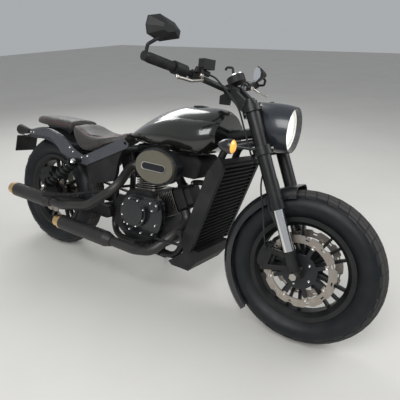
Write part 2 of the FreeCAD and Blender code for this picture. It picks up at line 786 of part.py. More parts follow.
def wheels():
    """Both wheels with tyres, discs and the sprocket."""
    front = s.front_tyre_radius - s.front_section
    rear = s.rear_tyre_radius - s.rear_section
    tyre("front_tyre", "front_wheel", s.front_tyre_radius, s.front_tyre_width, front,
         s.front_rim_width)
    tyre("rear_tyre", "rear_wheel", s.rear_tyre_radius, s.rear_tyre_width, rear, s.rear_rim_width)
    wheel("front_wheel", "front_wheel", front, s.front_rim_width, s.front_hub_radius,
          s.front_hub_half)
    wheel("rear_wheel", "rear_wheel", rear, s.rear_rim_width, s.rear_hub_radius, s.rear_hub_half)
    disc("front_discs", "front_wheel", s.front_disc_radius, s.front_hub_half, True)
    disc("rear_disc", "rear_wheel", s.rear_disc_radius, s.rear_hub_half, False)
    sprocket()


def axle(label, group, reach, hub_half, ends, local):
    """Axle with its nuts, and spacers from the hub to the two ends."""
    half = reach + s.axle_nut_length
    shaft = made("Cylinder", label + "_shaft", Radius=s.axle_radius, Height=half * 2)
    shaft.Placement = FreeCAD.Placement(V(0, -float(half), 0), FreeCAD.Rotation(V(1, 0, 0), -90))
    pieces = [shaft]
    for side, end in zip((-1, 1), ends):
        nut = made("Prism", "%s_nut_%d" % (label, side + 1), Circumradius=s.axle_nut_radius,
                   Height=s.axle_nut_length)
        nut.Polygon = 6
        start = float(reach + s.seat_gap) * side
        nut.Placement = aim(V(0, start, 0), V(0, start + side, 0))
        spacer = made("Cylinder", "%s_spacer_%d" % (label, side + 1), Radius=s.spacer_radius,
                      Height=end - hub_half - s.pin_play)
        start = float(hub_half + s.pin_play) * side
        spacer.Placement = aim(V(0, start, 0), V(0, start + side, 0))
        pieces += [nut, spacer]
    keep(joined(label, pieces), group, local)


def caliper(label, disc_radius, hub_half, sides, lug_end):
    """Caliper over the top of a disc, with piston caps and bolt bosses out to the lug's end."""
    piece = Piece(label)
    low = disc_radius - s.caliper_reach
    high = disc_radius + s.caliper_rise
    half = s.caliper_half
    lug_z = disc_radius - s.piston_radius - s.caliper_slot
    for side in sides:
        middle = -disc_middle(hub_half) * side
        face = -(disc_middle(hub_half) + s.caliper_thick / 2) * side
        piece.pad(piece.outline("XZ", [
            (12 - half, low), (half - 12, low), (half, low + 8), (half, high - 10),
            (half - 14, high, half * 3), (14 - half, high), (-half, high - 10), (-half, low + 8)],
            middle), s.caliper_thick, centred=True)
        piece.pad(piece.circles("XZ", [(x, disc_radius - s.caliper_rise, s.piston_radius)
                                       for x in (-s.piston_pitch, s.piston_pitch)], face),
                  s.button_height, backwards=side > 0)
        piece.pad(piece.circles("XZ", [(x, lug_z, s.caliper_bolt)
                                       for x in (-s.caliper_lug, s.caliper_lug)], face),
                  lug_end - disc_middle(hub_half) - s.caliper_thick / 2, backwards=side > 0)
        slot_top = disc_radius + s.button_height
        piece.pocket(piece.outline("XZ", [(-half * 2, 0), (half * 2, 0), (half * 2, slot_top),
                                          (-half * 2, slot_top)], middle),
                     s.caliper_slot, centred=True)
        arm_top = disc_radius - s.disc_band + s.button_radius + s.button_height
        outward = -side * s.carrier_thick / 4
        piece.pocket(piece.outline("XZ", [(-half * 2, 0), (half * 2, 0), (half * 2, arm_top),
                                          (-half * 2, arm_top)], middle + outward),
                     s.caliper_slot * 2, centred=True)
    return piece


# Fork and steering


def strip(start, end, half):
    """Corners of a straight strip between two points of a sketch."""
    ahead = V(end[0] - start[0], end[1] - start[1], 0).normalize()
    side = V(-ahead.y, ahead.x, 0) * half
    return [(start[0] - side.x, start[1] - side.y), (end[0] - side.x, end[1] - side.y),
            (end[0] + side.x, end[1] + side.y), (start[0] + side.x, start[1] + side.y)]


def lug_points():
    """Caliper bolts in the front wheel's plane."""
    lug_z = float(s.front_disc_radius - s.piston_radius - s.caliper_slot)
    back = FreeCAD.Rotation(V(0, 1, 0), -float(s.front_caliper_angle))
    return [back.multVec(point(x, 0, lug_z)) for x in (s.caliper_lug, -s.caliper_lug)]


def fork_top():
    """Top of the fork legs above the axle."""
    return s.clamp_upper + s.clamp_upper_thick + s.fork_top_rise


def fork():
    """Upside-down fork with its clamps, in the frame of the steering axis."""
    leg = [(s.fork_offset, s.fork_leg_y), (s.fork_offset, -s.fork_leg_y)]
    outer = Piece("fork_outer_tubes")
    body_height = fork_top() - s.outer_tube_start
    outer.pad(outer.circles("XY", [(x, y, s.outer_tube_radius) for x, y in leg],
                            s.outer_tube_start), body_height)
    outer.pad(outer.circles("XY", [(x, y, s.seal_radius) for x, y in leg], s.outer_tube_start),
              s.seal_height)
    outer.pad(outer.circles("XY", [(x, y, s.leg_cap_radius) for x, y in leg], fork_top()),
              s.leg_cap_height)
    outer.pocket(outer.circles("XY", [(x, y, s.inner_tube_radius + s.seat_gap) for x, y in leg],
                               s.outer_tube_start), s.inner_tube_engaged, backwards=True)
    keep(outer, "fork")

    inner = Piece("fork_inner_tubes")
    inner.pad(inner.circles("XY", [(x, y, s.inner_tube_radius) for x, y in leg], s.foot_top),
              s.outer_tube_start + s.inner_tube_engaged - s.seat_gap - s.foot_top)
    keep(inner, "fork")

    feet = Piece("fork_feet")
    axle_x = float(s.fork_offset)
    upper, lower = lug_points()
    plate_out = s.fork_leg_y - s.foot_half + s.lug_plate + 1
    neck = s.spacer_radius + 1
    for x, y in leg:
        feet.pad(feet.circles("XY", [(x, y, s.foot_neck)], neck), s.foot_top - s.seat_gap - neck)
        feet.pad(feet.circles("XZ", [(x, 0, s.foot_radius)], -y - s.foot_half), s.foot_half * 2)
    for start in (-plate_out, plate_out - s.lug_plate):
        for foot_z, lug in ((66, upper), (20, lower)):
            feet.pad(feet.outline("XZ", strip((axle_x, foot_z), (axle_x + lug.x, lug.z), 11),
                                  start), s.lug_plate)
        feet.pad(feet.outline("XZ", strip((axle_x + upper.x, upper.z),
                                          (axle_x + lower.x, lower.z), 8), start), s.lug_plate)
        feet.pad(feet.circles("XZ", [(axle_x + lug.x, lug.z, 12) for lug in (upper, lower)], start),
                 s.lug_plate)
    feet.pocket(feet.circles("XZ", [(s.fork_offset, 0, s.axle_radius + s.seat_gap)]),
                s.fork_leg_y * 3, centred=True)
    keep(feet, "fork")

    clamps = Piece("fork_clamps")
    clamps.pad(clamps.circles("XY", [(0, 0, s.stem_radius)], s.clamp_lower),
               s.clamp_upper - s.clamp_lower)
    ear_y = s.fork_leg_y - s.clamp_ear_radius - s.flange_thick
    for start, thick in ((s.clamp_lower, s.clamp_lower_thick), (s.clamp_upper, s.clamp_upper_thick)):
        web = clamps.outline("XY", [
            (-s.clamp_web_half * 1.4, -s.clamp_web_half), (s.clamp_web_half, -s.fork_leg_y),
            (s.fork_offset + s.clamp_web_half, -s.fork_leg_y), (s.clamp_front, -ear_y),
            (s.clamp_front, ear_y), (s.fork_offset + s.clamp_web_half, s.fork_leg_y),
            (s.clamp_web_half, s.fork_leg_y), (-s.clamp_web_half * 1.4, s.clamp_web_half)], start)
        clamps.pad(web, thick)
        clamps.pad(clamps.circles("XY", [(x, y, s.clamp_ear_radius) for x, y in leg], start), thick)
    clamps.pocket(clamps.circles("XY", [(x, y, s.outer_tube_radius + s.seat_gap) for x, y in leg],
                                 s.clamp_lower - s.clamp_lower_thick),
                  s.clamp_upper - s.clamp_lower + s.clamp_lower_thick * 3, backwards=True)
    keep(clamps, "fork")
    inner_face = s.fork_leg_y - s.foot_half - s.seat_gap
    axle("front_axle", "fork", s.fork_leg_y + s.foot_half, s.front_hub_half,
         (inner_face, inner_face), FreeCAD.Placement(point(s.fork_offset, 0, 0), NO_TURN))
    keep(caliper("front_calipers", s.front_disc_radius, s.front_hub_half, (-1, 1),
                 plate_out - s.lug_plate - s.seat_gap), "fork", FreeCAD.Placement(
        point(s.fork_offset, 0, 0), FreeCAD.Rotation(V(0, 1, 0), -float(s.front_caliper_angle))))


# Handlebar and what it carries


def bar_route(side):
    """Outer end, outer bend and knee of the bar on one side."""
    return [point(s.bar_end_x, s.bar_half * side, s.bar_end_z),
            point(s.bar_bend_x, s.bar_bend_y * side, s.bar_bend_z),
            point(s.bar_clamp_x, s.bar_knee_y * side, s.bar_clamp_z)]


def bar_point(side, out):
    """Point on the bar at a distance from the centre plane, and the bar's outward direction there."""
    end, bend, knee = bar_route(side)
    inner, outer = (bend, end) if float(out) > float(s.bar_bend_y) else (knee, bend)
    ahead = (outer - inner).normalize()
    return inner + ahead * ((float(out) - abs(inner.y)) / abs(ahead.y)), ahead


def sleeve(label, side, start, end, radius):
    """Solid round bar along the handlebar between two distances from the centre plane."""
    return rod(label, bar_point(side, start)[0], bar_point(side, end)[0], radius)


def handlebar():
    """Bar, risers and grips."""
    clamp = (s.bar_clamp_x, s.bar_clamp_z)
    route = bar_route(-1) + bar_route(1)[::-1]
    bar = tube("bar_tube", route, float(s.bar_arc), s.bar_radius)
    pieces = [bar]
    top = FORK.multVec(point(0, 0, s.clamp_upper + s.clamp_upper_thick + s.seat_gap))
    for side in (-1, 1):
        riser = Piece("riser_%d" % (side + 1))
        foot_x = sized(top.x)
        foot_z = sized(top.z)
        riser.pad(riser.outline("XZ", [
            (foot_x - s.riser_cap_radius, foot_z - 10), (foot_x + s.riser_cap_radius, foot_z + 10),
            (clamp[0] + s.riser_cap_radius, clamp[1] + 8), (clamp[0], clamp[1] - s.riser_cap_radius)],
            -s.riser_y * side), s.riser_width, centred=True)
        riser.pad(riser.circles("XZ", [(clamp[0], clamp[1], s.riser_cap_radius)], -s.riser_y * side),
                  s.riser_width, centred=True)
        pieces.append(riser.body)
    keep(joined("handlebar", pieces), "bars")
    grips = []
    for side in (-1, 1):
        end, ahead = bar_point(side, s.bar_half)
        start = end - ahead * float(s.grip_length)
        hollow = rod("grip_hole_%d" % (side + 1), start - ahead, end + ahead,
                     s.bar_radius + s.seat_gap)
        skin = rod("grip_skin_%d" % (side + 1), start, end + ahead * 4, s.grip_radius)
        grips.append(cut("grip_%d" % (side + 1), skin, hollow))
    keep(joined("grips", grips), "bars")


def pivot_of(side):
    """Lever pivot on one side, in the bars' frame."""
    return V(1060, 232 * side, 1018)


def master_ends():
    """Inner and outer end of the master cylinder on the right side."""
    ahead = bar_point(-1, s.perch_y)[1]
    middle = V(1052, -215, 1034)
    reach = ahead * float(s.master_length / 2)
    return middle - reach, middle + reach


def bar_controls():
    """Lever perches, switch housings, brake reservoir and the lock below the bar."""
    pieces = []
    holes = []
    for side in (-1, 1):
        tag = side + 1
        middle = bar_point(side, s.perch_y)[0]
        pieces.append(sleeve("perch_%d" % tag, side, s.perch_y - s.perch_width / 2,
                             s.perch_y + s.perch_width / 2, s.perch_radius))
        pieces.append(rod("perch_arm_%d" % tag, middle, pivot_of(side), s.pivot_radius))
        pieces.append(sleeve("switches_%d" % tag, side, s.switch_start, s.switch_end,
                             s.switch_radius))
        holes.append(rod("pivot_hole_%d" % tag, pivot_of(side) - V(0, 0, 30),
                         pivot_of(side) + V(0, 0, 30), s.pivot_radius + s.seat_gap))
        knee, bend, end = bar_point(side, s.bar_knee_y)[0], *bar_route(side)[1::-1]
        holes.append(rod("bar_hole_%d" % tag, knee, bend, s.bar_radius + s.seat_gap))
        holes.append(rod("bar_end_hole_%d" % tag, bend, end, s.bar_radius + s.seat_gap))
    inner, outer = master_ends()
    pieces.append(rod("master", inner, outer, s.master_radius))
    pieces.append(rod("master_arm", bar_point(-1, s.perch_y)[0], (inner + outer) * 0.5,
                      s.pivot_radius))
    box = made("Box", "reservoir", Length=50, Width=40, Height=37)
    turn = FreeCAD.Rotation(outer - inner, V(0, 0, 1).cross(outer - inner), V(0, 0, 1), "ZXY")
    box.Placement = FreeCAD.Placement(V(1062, -207, 1062), turn) * FreeCAD.Placement(
        V(-25, -20, -18.5), NO_TURN)
    pieces.append(box)
    clamp = V(float(s.bar_clamp_x), 0, float(s.bar_clamp_z))
    pieces.append(rod("lock_ring", clamp + V(0, -26, 0), clamp + V(0, -4, 0), s.perch_radius))
    lock = Piece("lock")
    lock.pad(lock.outline("XZ", [(1036, 925), (1078, 925), (1082, 958), (1092, 972), (1072, 980),
                                 (1034, 960)], 4), 22)
    pieces.append(lock.body)
    holes.append(rod("lock_hole", clamp + V(0, -40, 0), clamp + V(0, 10, 0),
                     s.bar_radius + s.seat_gap))
    keep(cut("bar_controls", joined("controls", pieces), joined("control_holes", holes)), "bars")


def levers():
    """Clutch and brake lever."""
    pieces = []
    for side in (-1, 1):
        tag = side + 1
        run = [pivot_of(side), V(1085, 262 * side, 1000), V(1082, 330 * side, 990),
               V(1068, 400 * side, 995)]
        pieces.append(tube("lever_arm_%d" % tag, run, 24, s.lever_radius))
        pieces.append(rod("lever_eye_%d" % tag, run[0] - V(0, 0, 6), run[0] + V(0, 0, 6),
                          s.pivot_radius))
        ball = made("Sphere", "lever_ball_%d" % tag, Radius=s.lever_ball)
        ball.Placement = FreeCAD.Placement(run[3], NO_TURN)
        pieces.append(ball)
    keep(joined("levers", pieces), "bars")


def gauge():
    """Round instrument on its bracket, with a hooked stalk."""
    turn = FreeCAD.Rotation(V(0, 1, 0), -float(s.gauge_tilt))
    up = turn.multVec(V(0, 0, 1))
    along = turn.multVec(V(1, 0, 0))
    clamp = V(float(s.bar_clamp_x), 0, float(s.bar_clamp_z))
    centre = clamp + along * 24 + up * float(s.gauge_depth / 2 + s.riser_cap_radius + 1)
    body = rod("gauge_body", centre - up * float(s.gauge_depth / 2),
               centre + up * float(s.gauge_depth / 2), s.gauge_radius)
    ring = rod("gauge_ring", clamp + V(0, 3, 0), clamp + V(0, 21, 0), s.perch_radius - 2)
    post = rod("gauge_post", clamp + V(0, 12, 0), V(centre.x, 12, centre.z), s.pivot_radius - 3)
    hook = tube("gauge_hook", [V(1075, 0, 1030), V(1066, 0, 1079), V(1035, 0, 1079),
                               V(1033, 0, 1066)], 9, 5)
    hole = rod("gauge_hole", clamp, clamp + V(0, 30, 0), s.bar_radius + s.seat_gap)
    keep(cut("gauge", joined("gauge_pieces", [body, ring, post, hook]), hole), "bars")


# Outline of a mirror's face: outward, up
MIRROR = ((61, 29), (20, 42), (-40, 27), (-67, 6), (-65, -19), (10, -42), (60, -27), (67, 0))


def mirror_wire(scale, z, side):
    """The mirror's outline at a depth, in its own frame."""
    corners = [V(x * side * scale, y * scale, z) for x, y in MIRROR]
    return Part.makePolygon(corners + corners[:1])


def mirrors():
    """Bar end mirrors: plug, stem and angular shell, and the glass on the rider's side."""
    shells = []
    glasses = []
    for side, centre, yaw, stem in (
            (-1, V(23, 37, 97), 20, [V(8, -16, 39), V(28, 16, 66), V(34, 34, 89)]),
            (1, V(24, -52, 52), 40, [V(40, 18, 6), V(56, -12, 28), V(44, -38, 46)])):
        tag = side + 1
        end, ahead = bar_point(side, s.bar_half)
        centre = end + centre
        stem = [end + spot for spot in stem]
        start = end + ahead * (4 + float(s.seat_gap))
        finish = start + ahead * float(s.plug_length)
        yaw = math.radians(yaw)
        normal = V(math.cos(yaw), side * math.sin(yaw), 0)
        place = FreeCAD.Placement(centre, FreeCAD.Rotation(
            V(0, 0, 1).cross(normal), V(0, 0, 1), normal, "ZXY"))
        rim = float(s.mirror_rim)
        sections = [mirror_wire(1, 0, side), mirror_wire(1, rim, side)]
        shape = Part.makeLoft(sections, True, True)
        back = Part.makeLoft([sections[1], mirror_wire(0.35, rim + float(s.mirror_depth), side)],
                             True, True)
        shell = computed("mirror_shell_%d" % tag, shape.fuse(back).removeSplitter())
        shell.Placement = place
        plug = rod("mirror_plug_%d" % tag, start, finish, s.plug_radius)
        bar = tube("mirror_stem_%d" % tag, [(start + finish) * 0.5] + stem, 12, s.mirror_stem)
        shells.append(joined("mirror_%d" % tag, [shell, plug, bar]))
        gap = float(s.seat_gap)
        glass = computed("mirror_pane_%d" % tag, Part.makeLoft(
            [mirror_wire(0.93, -gap - 2, side), mirror_wire(0.93, -gap, side)], True, True))
        glass.Placement = place
        glasses.append(glass)
    keep(joined("mirrors", shells), "bars")
    keep(joined("mirror_glass", glasses), "bars")


# Headlight cowl sections: back from the mouth, half width, top and bottom from its centre
COWL = (
    (0, 90, 90, -90),
    (26, 94, 94.5, -94.5),
    (56, 96, 97, -96),
    (100, 90, 97, -94),
    (172, 72, 93, -62),
)


def cowl_section(row):
    """Oval section of the cowl."""
    back, half, top, bottom = row
    middle = (top + bottom) / 2
    return Part.Wire([Part.Ellipse(V(-back, 0, top), V(-back, half, middle),
                                   V(-back, 0, middle)).toShape()])


def clamp_box(label, u, half, start, end):
    """Box in the fork's frame, from well behind the axis to u ahead of it."""
    box = made("Box", label, Length=400 + u, Width=half * 2, Height=end - start)
    box.Placement = FORK * FreeCAD.Placement(point(-400, -half, start), NO_TURN)
    return box


def headlight():
    """Cowl with its recessed lens, cut clear of the fork, the clamps and the head."""
    shell = computed("cowl_shell", loft([cowl_section(row) for row in COWL]))
    shell.Placement = FreeCAD.Placement(point(s.lens_x, 0, s.lens_z), NO_TURN)
    mouth = point(s.lens_x, 0, s.lens_z)
    tools = [rod("cowl_recess", mouth - V(float(s.lens_recess + s.cowl_wall), 0, 0),
                 mouth + V(10, 0, 0), s.cowl_mouth - s.cowl_wall)]
    leg_in = s.fork_leg_y - s.clamp_ear_radius - 1
    leg_u = s.fork_offset + s.outer_tube_radius + 2
    for side in (-1, 1):
        box = made("Box", "leg_room_%d" % (side + 1), Length=400 + leg_u, Width=200, Height=360)
        low_y = float(leg_in) if side > 0 else -float(leg_in) - 200
        box.Placement = FORK * FreeCAD.Placement(point(-400, low_y, 390), NO_TURN)
        tools.append(box)
    tools.append(clamp_box("head_room", sized(8), sized(200), sized(380), sized(780)))
    tools.append(rod("head_turn", FORK.multVec(V(0, 0, 380)), FORK.multVec(V(0, 0, 780)),
                     s.head_radius + s.flange_thick + s.pin_play))
    tools.append(clamp_box("lower_room", s.clamp_front + 1, leg_in + 1, s.clamp_lower - 30,
                           s.clamp_lower + s.clamp_lower_thick + s.seat_gap))
    tools.append(clamp_box("upper_room", s.clamp_front + 7, leg_in + 1, s.clamp_upper - 1,
                           fork_top() + 20))
    keep(cut("headlight_cowl", shell, joined("cowl_rooms", tools)), "bars")
    lens = Piece("headlight_lens")
    rim = -s.lens_recess
    depth = rim - s.cowl_wall + s.seat_gap
    lens.revolve(lens.outline("XZ", [
        (depth, 0), (depth, s.cowl_mouth - s.cowl_wall - s.seat_gap),
        (rim, s.cowl_mouth - s.cowl_wall - s.seat_gap), (rim, s.lens_radius, -260),
        (rim + s.lens_bulge, 0)]), "H_Axis")
    keep(lens, "bars", FreeCAD.Placement(mouth, NO_TURN))


def dome(label, radius, start):
    """Indicator lens: a shallow dome turned about X."""
    lens = Piece(label)
    bulge = s.signal_dome
    lens.revolve(lens.outline("XZ", [
        (start, 0), (start, radius, -(radius * radius + bulge * bulge) / (bulge * 2)),
        (start + bulge, 0)]), "H_Axis")
    return lens.body


def front_signals():
    """Front indicators on stalks from the lower clamp."""
    bodies = []
    lenses = []
    for side in (-1, 1):
        tag = side + 1
        bullet = Piece("signal_shell_%d" % tag)
        bullet.revolve(bullet.outline("XZ", [
            (0, 0), (0, s.signal_radius, s.signal_length), (-s.signal_length, s.hose_radius),
            (-s.signal_length, 0)]), "H_Axis")
        place = point(s.signal_x, s.signal_y * side, s.signal_z)
        bullet.body.Placement = FreeCAD.Placement(place, NO_TURN)
        ear = FORK.multVec(point(s.fork_offset, s.fork_leg_y * side,
                                 s.clamp_lower + s.clamp_lower_thick / 2))
        stalk = rod("signal_stalk_%d" % tag, ear, place - V(26, 10 * side, 0), s.signal_stalk)
        room = rod("signal_room_%d" % tag,
                   FORK.multVec(point(s.fork_offset, s.fork_leg_y * side, s.clamp_lower - 60)),
                   FORK.multVec(point(s.fork_offset, s.fork_leg_y * side, s.clamp_lower + 90)),
                   s.clamp_ear_radius + s.seat_gap)
        bodies.append(cut("signal_%d" % tag, joined("signal_pair_%d" % tag, [bullet.body, stalk]),
                          room))
        lens = dome("signal_lens_%d" % tag, s.signal_radius - 1, s.seat_gap)
        lens.Placement = FreeCAD.Placement(place, NO_TURN)
        lenses.append(lens)
    keep(joined("front_indicators", bodies), "bars")
    keep(joined("front_indicator_lenses", lenses), "bars")


def cable(label, points, radius):
    """A round cable on straight runs and tangent arcs; prints the radius of each bend."""
    bends = []
    for before, corner, after in zip(points, points[1:], points[2:]):
        back = before - corner
        ahead = after - corner
        turn = math.pi - back.getAngle(ahead)
        bends.append(0.45 * min(back.Length, ahead.Length) / math.tan(turn / 2))
    print(label, "bend radii", ["%.0f" % bend for bend in bends])
    return tube(label, points, bends, radius)


def brake_hoses():
    """Hose from the master cylinder to a splitter, and from there to both front calipers."""
    inner, outer = master_ends()
    start = FORK.inverse().multVec(inner)
    ahead = FORK.Rotation.inverted().multVec((inner - outer).normalize())
    start += ahead * float(s.seat_gap)
    low = s.clamp_lower - s.seat_gap
    pieces = [rod("splitter", point(0, 0, low - 22), point(0, 0, low), s.splitter_radius)]
    pieces.append(cable("hose_upper", [
        start, start + ahead * 34, V(-20, -140, 740), V(2, -136, 680), V(2, -136, 440),
        V(0, -4, 466)], s.hose_radius))
    face = disc_middle(s.front_hub_half) + s.caliper_thick / 2 + s.seat_gap
    for side in (-1, 1):
        pieces.append(cable("hose_lower_%d" % side, [
            V(0, 4 * side, 466), V(0, 26 * side, 436), V(-8, 100 * side, 372),
            V(-22, 108 * side, 260), V(-42, 102 * side, 190), V(-60, float(face + 7) * side, 126)],
            s.hose_radius))
        pieces.append(rod("banjo_%d" % side, V(-60, float(face) * side, 126),
                          V(-60, float(face + 13) * side, 126), s.hose_radius * 2))
    keep(joined("brake_hoses", pieces), "fork")


# Engine


def cylinder(label, tilt):
    """Finned barrel, head and rocker cover along the cylinder's own axis from the crankshaft."""
    piece = Piece(label)

    def block(half_x, half_y, start, height, corner):
        sketch = piece.outline("XY", [(-half_x, -half_y), (half_x, -half_y), (half_x, half_y),
                                      (-half_x, half_y)], start)
        plate = piece.pad(sketch, height)
        return piece.round(plate, V(0, 0, 1), corner,
                           lambda c: c.z > float(start) and c.z < float(start + height))

    base = s.deck_height + s.seat_gap
    head = base + s.barrel_length
    rocker = head + s.head_length
    piece.pad(piece.circles("XY", [(0, 0, s.barrel_radius)], base), s.barrel_length + s.fin_thick)
    piece.pad(piece.outline("XY", [
        (-s.fin_half_x + s.fin_corner, -s.fin_half_y, s.fin_half_x * 8),
        (s.fin_half_x - s.fin_corner, -s.fin_half_y, s.fin_corner),
        (s.fin_half_x, -s.fin_half_y + s.fin_corner, s.fin_half_x * 8),
        (s.fin_half_x, s.fin_half_y - s.fin_corner, s.fin_corner),
        (s.fin_half_x - s.fin_corner, s.fin_half_y, s.fin_half_x * 8),
        (-s.fin_half_x + s.fin_corner, s.fin_half_y, s.fin_corner),
        (-s.fin_half_x, s.fin_half_y - s.fin_corner, s.fin_half_x * 8),
        (-s.fin_half_x, -s.fin_half_y + s.fin_corner, s.fin_corner)], base), s.fin_thick * 2)
    fin = piece.pad(piece.outline("XY", [
        (-s.fin_half_x + s.fin_corner, -s.fin_half_y), (s.fin_half_x - s.fin_corner, -s.fin_half_y,
                                                        s.fin_corner),
        (s.fin_half_x, -s.fin_half_y + s.fin_corner), (s.fin_half_x, s.fin_half_y - s.fin_corner,
                                                       s.fin_corner),
        (s.fin_half_x - s.fin_corner, s.fin_half_y), (-s.fin_half_x + s.fin_corner, s.fin_half_y,
                                                      s.fin_corner),
        (-s.fin_half_x, s.fin_half_y - s.fin_corner), (-s.fin_half_x, -s.fin_half_y + s.fin_corner,
                                                       s.fin_corner)],
        base + s.fin_pitch + s.fin_thick), s.fin_thick)
    steps = int(float(s.barrel_length - s.fin_pitch) // float(s.fin_pitch))
    piece.row([fin], "Z", s.fin_pitch * (steps - 1), steps)
    top_x = head_half()
    top_y = s.fin_half_y - s.fin_corner / 3
    block(top_x, top_y, head, s.head_length, s.fin_corner)
    block(top_x - s.fin_corner / 2, top_y - s.fin_corner / 2, rocker, s.rocker_length,
          s.fin_corner)
    keep(piece, "chassis", FreeCAD.Placement(
        point(s.crank_x, 0, s.crank_z), FreeCAD.Rotation(V(0, 1, 0), float(tilt))))


def head_half():
    """Half length of a cylinder head along the bike."""
    return s.fin_half_x - s.fin_corner / 3


def head_face(tilt, side, y):
    """Middle of a cylinder head's front or rear face, a seating gap off it, and its normal."""
    place = FreeCAD.Placement(point(s.crank_x, 0, s.crank_z),
                              FreeCAD.Rotation(V(0, 1, 0), float(tilt)))
    reach = s.deck_height + s.barrel_length + s.head_length / 2
    face = place.multVec(point((head_half() + s.seat_gap) * side, y, reach))
    return face, place.Rotation.multVec(V(side, 0, 0))


def crankcase():
    """Crankcase and gearbox with the two cylinder decks and room for the chain."""
    case = Piece("crankcase")
    corners = []
    for tilt in (-s.rear_tilt, s.front_tilt):
        for side in (-1, 1):
            reach = (s.fin_half_x + s.deck_edge) * side
            corners.append((s.crank_x + s.deck_height * sine(tilt) + reach * cosine(tilt),
                            s.crank_z + s.deck_height * cosine(tilt) - reach * sine(tilt)))
    corners += [(s.case_front, s.crank_z - 50, -60), (s.case_front - 40, s.case_floor),
                (s.case_back + 100, s.case_floor), (s.case_back, s.case_floor + 60),
                (s.case_back, s.gearbox_top - 40, -60), (s.case_back + 60, s.gearbox_top)]
    case.pad(case.outline("XZ", corners), s.case_half * 2, centred=True)
    room = s.drive_pocket
    inside = -s.chain_y + s.chain_width / 2 + 2
    case.pocket(case.outline("XZ", [
        (s.drive_x, s.drive_z - room, room), (s.drive_x + room, s.drive_z, room),
        (s.drive_x, s.drive_z + room), (s.case_back - room, s.drive_z + room),
        (s.case_back - room, s.drive_z - room)],
        inside), room, backwards=False)
    case.pad(case.circles("XZ", [(s.drive_x, s.drive_z, s.drive_radius)], inside),
             s.chain_width, backwards=True)
    keep(case, "chassis")

    cover = Piece("clutch_cover")
    face = s.case_half + s.seat_gap
    side_corners = [
        (s.crank_x - 100, s.crank_z - 20, -100), (s.crank_x - 20, s.crank_z + 92),
        (s.pump_x, s.pump_z + s.pump_radius + 4, -40), (s.pump_x + 34, s.pump_z, -160),
        (s.pump_x + 10, s.crank_z - 90), (s.crank_x - 40, s.crank_z - 104, -100)]
    cover.pad(cover.outline("XZ", side_corners, face), s.cover_reach)
    cover.pad(cover.circles("XZ", [(s.crank_x, s.crank_z + 10, s.clutch_radius)],
                            face + s.cover_reach), s.clutch_reach * 0.7)
    cover.pad(cover.circles("XZ", [(s.crank_x, s.crank_z + 10, s.clutch_radius * 0.84)],
                            face + s.cover_reach), s.clutch_reach)
    cover.pad(cover.circles("XZ", [(s.pump_x, s.pump_z, s.pump_radius)], face + s.cover_reach),
              s.clutch_reach * 0.5)
    keep(cover, "chassis")

    stator = Piece("stator_cover")
    depth = s.cover_reach * 1.6
    back = s.pivot_x + s.arm_root + 8
    stator.pad(stator.outline("XZ", [
        (back, s.drive_z - 20, -70), (back + 20, s.drive_z + 52),
        (s.crank_x, s.crank_z + 90, -100), (s.crank_x + 90, s.crank_z, -100),
        (s.crank_x, s.crank_z - 96), (back + 20, s.drive_z - 70, -80)], -face - depth), depth)
    stator.pad(stator.circles("XZ", [(s.crank_x, s.crank_z, s.clutch_radius * 0.9)],
                              -face - depth - s.clutch_reach * 0.6), s.clutch_reach)
    keep(stator, "chassis")


def engine():
    """V-twin: crankcase, two finned cylinders, intake and air cleaner."""
    crankcase()
    cylinder("rear_cylinder", -s.rear_tilt)
    cylinder("front_cylinder", s.front_tilt)
    runners = [rod("intake_tube", point(s.intake_x, s.fin_half_y / 2, s.intake_z),
                   point(s.intake_x, -s.air_inner + s.seat_gap, s.intake_z), s.intake_radius)]
    for tilt, side in ((-s.rear_tilt, 1), (s.front_tilt, -1)):
        mouth, normal = head_face(tilt, side, 0)
        step = mouth + normal * float(s.flange_step)
        runners.append(rod("flange_%d" % (side + 1), mouth, step, s.intake_radius * 0.85))
        runners.append(rod("runner_%d" % (side + 1), step, point(s.intake_x, 0, s.intake_z),
                           s.intake_radius * 0.7))
    keep(joined("intake", runners), "chassis")

    ring = made("Ellipse", "air_ring_edge", MajorRadius=s.air_half_x, MinorRadius=s.air_half_z)
    inner = made("Ellipse", "air_face_edge", MajorRadius=s.air_half_x - s.air_lip,
                 MinorRadius=s.air_half_z - s.air_lip)
    body = made("Extrusion", "air_cleaner_body", LengthFwd=s.air_outer - s.air_inner)
    body.Base = ring
    face = made("Extrusion", "air_cleaner_face", LengthFwd=s.air_face)
    face.Base = inner
    for obj, start in ((body, s.air_inner), (face, s.air_outer + s.seat_gap)):
        obj.DirMode = "Custom"
        obj.Dir = V(0, 0, 1)
        obj.Solid = True
        keep(obj, "chassis", FreeCAD.Placement(point(s.air_x, -start, s.air_z),
                                               FreeCAD.Rotation(V(1, 0, 0), 90)))


# Frame, swing arm and suspension


def crest():
    """Height of the rear fender's top, from which the seats and the rear frame hang."""
    return s.rear_tyre_radius * 2 + s.rear_fender_gap + s.fender_wall


def rail_out():
    """Seat rails' distance from the centre plane, with the side plates seated on them."""
    return s.plate_y - s.seat_gap - s.tube_radius


def cradle_out():
    """Lower frame rails' distance from the centre plane, beside the crankcase."""
    return s.case_half + s.tube_radius + s.seat_gap


def cradle_tube(label, side, radius):
    """Down tube, lower rail and upright on one side, up to the seat rail."""
    out = cradle_out() * side
    inner = s.upright_y * side
    neck = FORK.multVec(point(0, 0, s.clamp_lower + s.clamp_lower_thick + 30))
    return tube(label, [
        neck, V(1112, 60 * side, 752), point(1002, out, 350), point(950, out, s.case_floor),
        point(s.stand_pivot_x, out, s.case_floor), point(s.upright_x + 5, inner, s.case_floor + 3),
        point(s.upright_x, inner, s.pivot_z + 150),
        point(s.rail_knee_x - 24, (s.panel_inner - s.tube_radius - 2) * side,
              crest() - s.rail_knee_drop - 12)],
        [60, 150, 60, 60, 60, 50], radius)


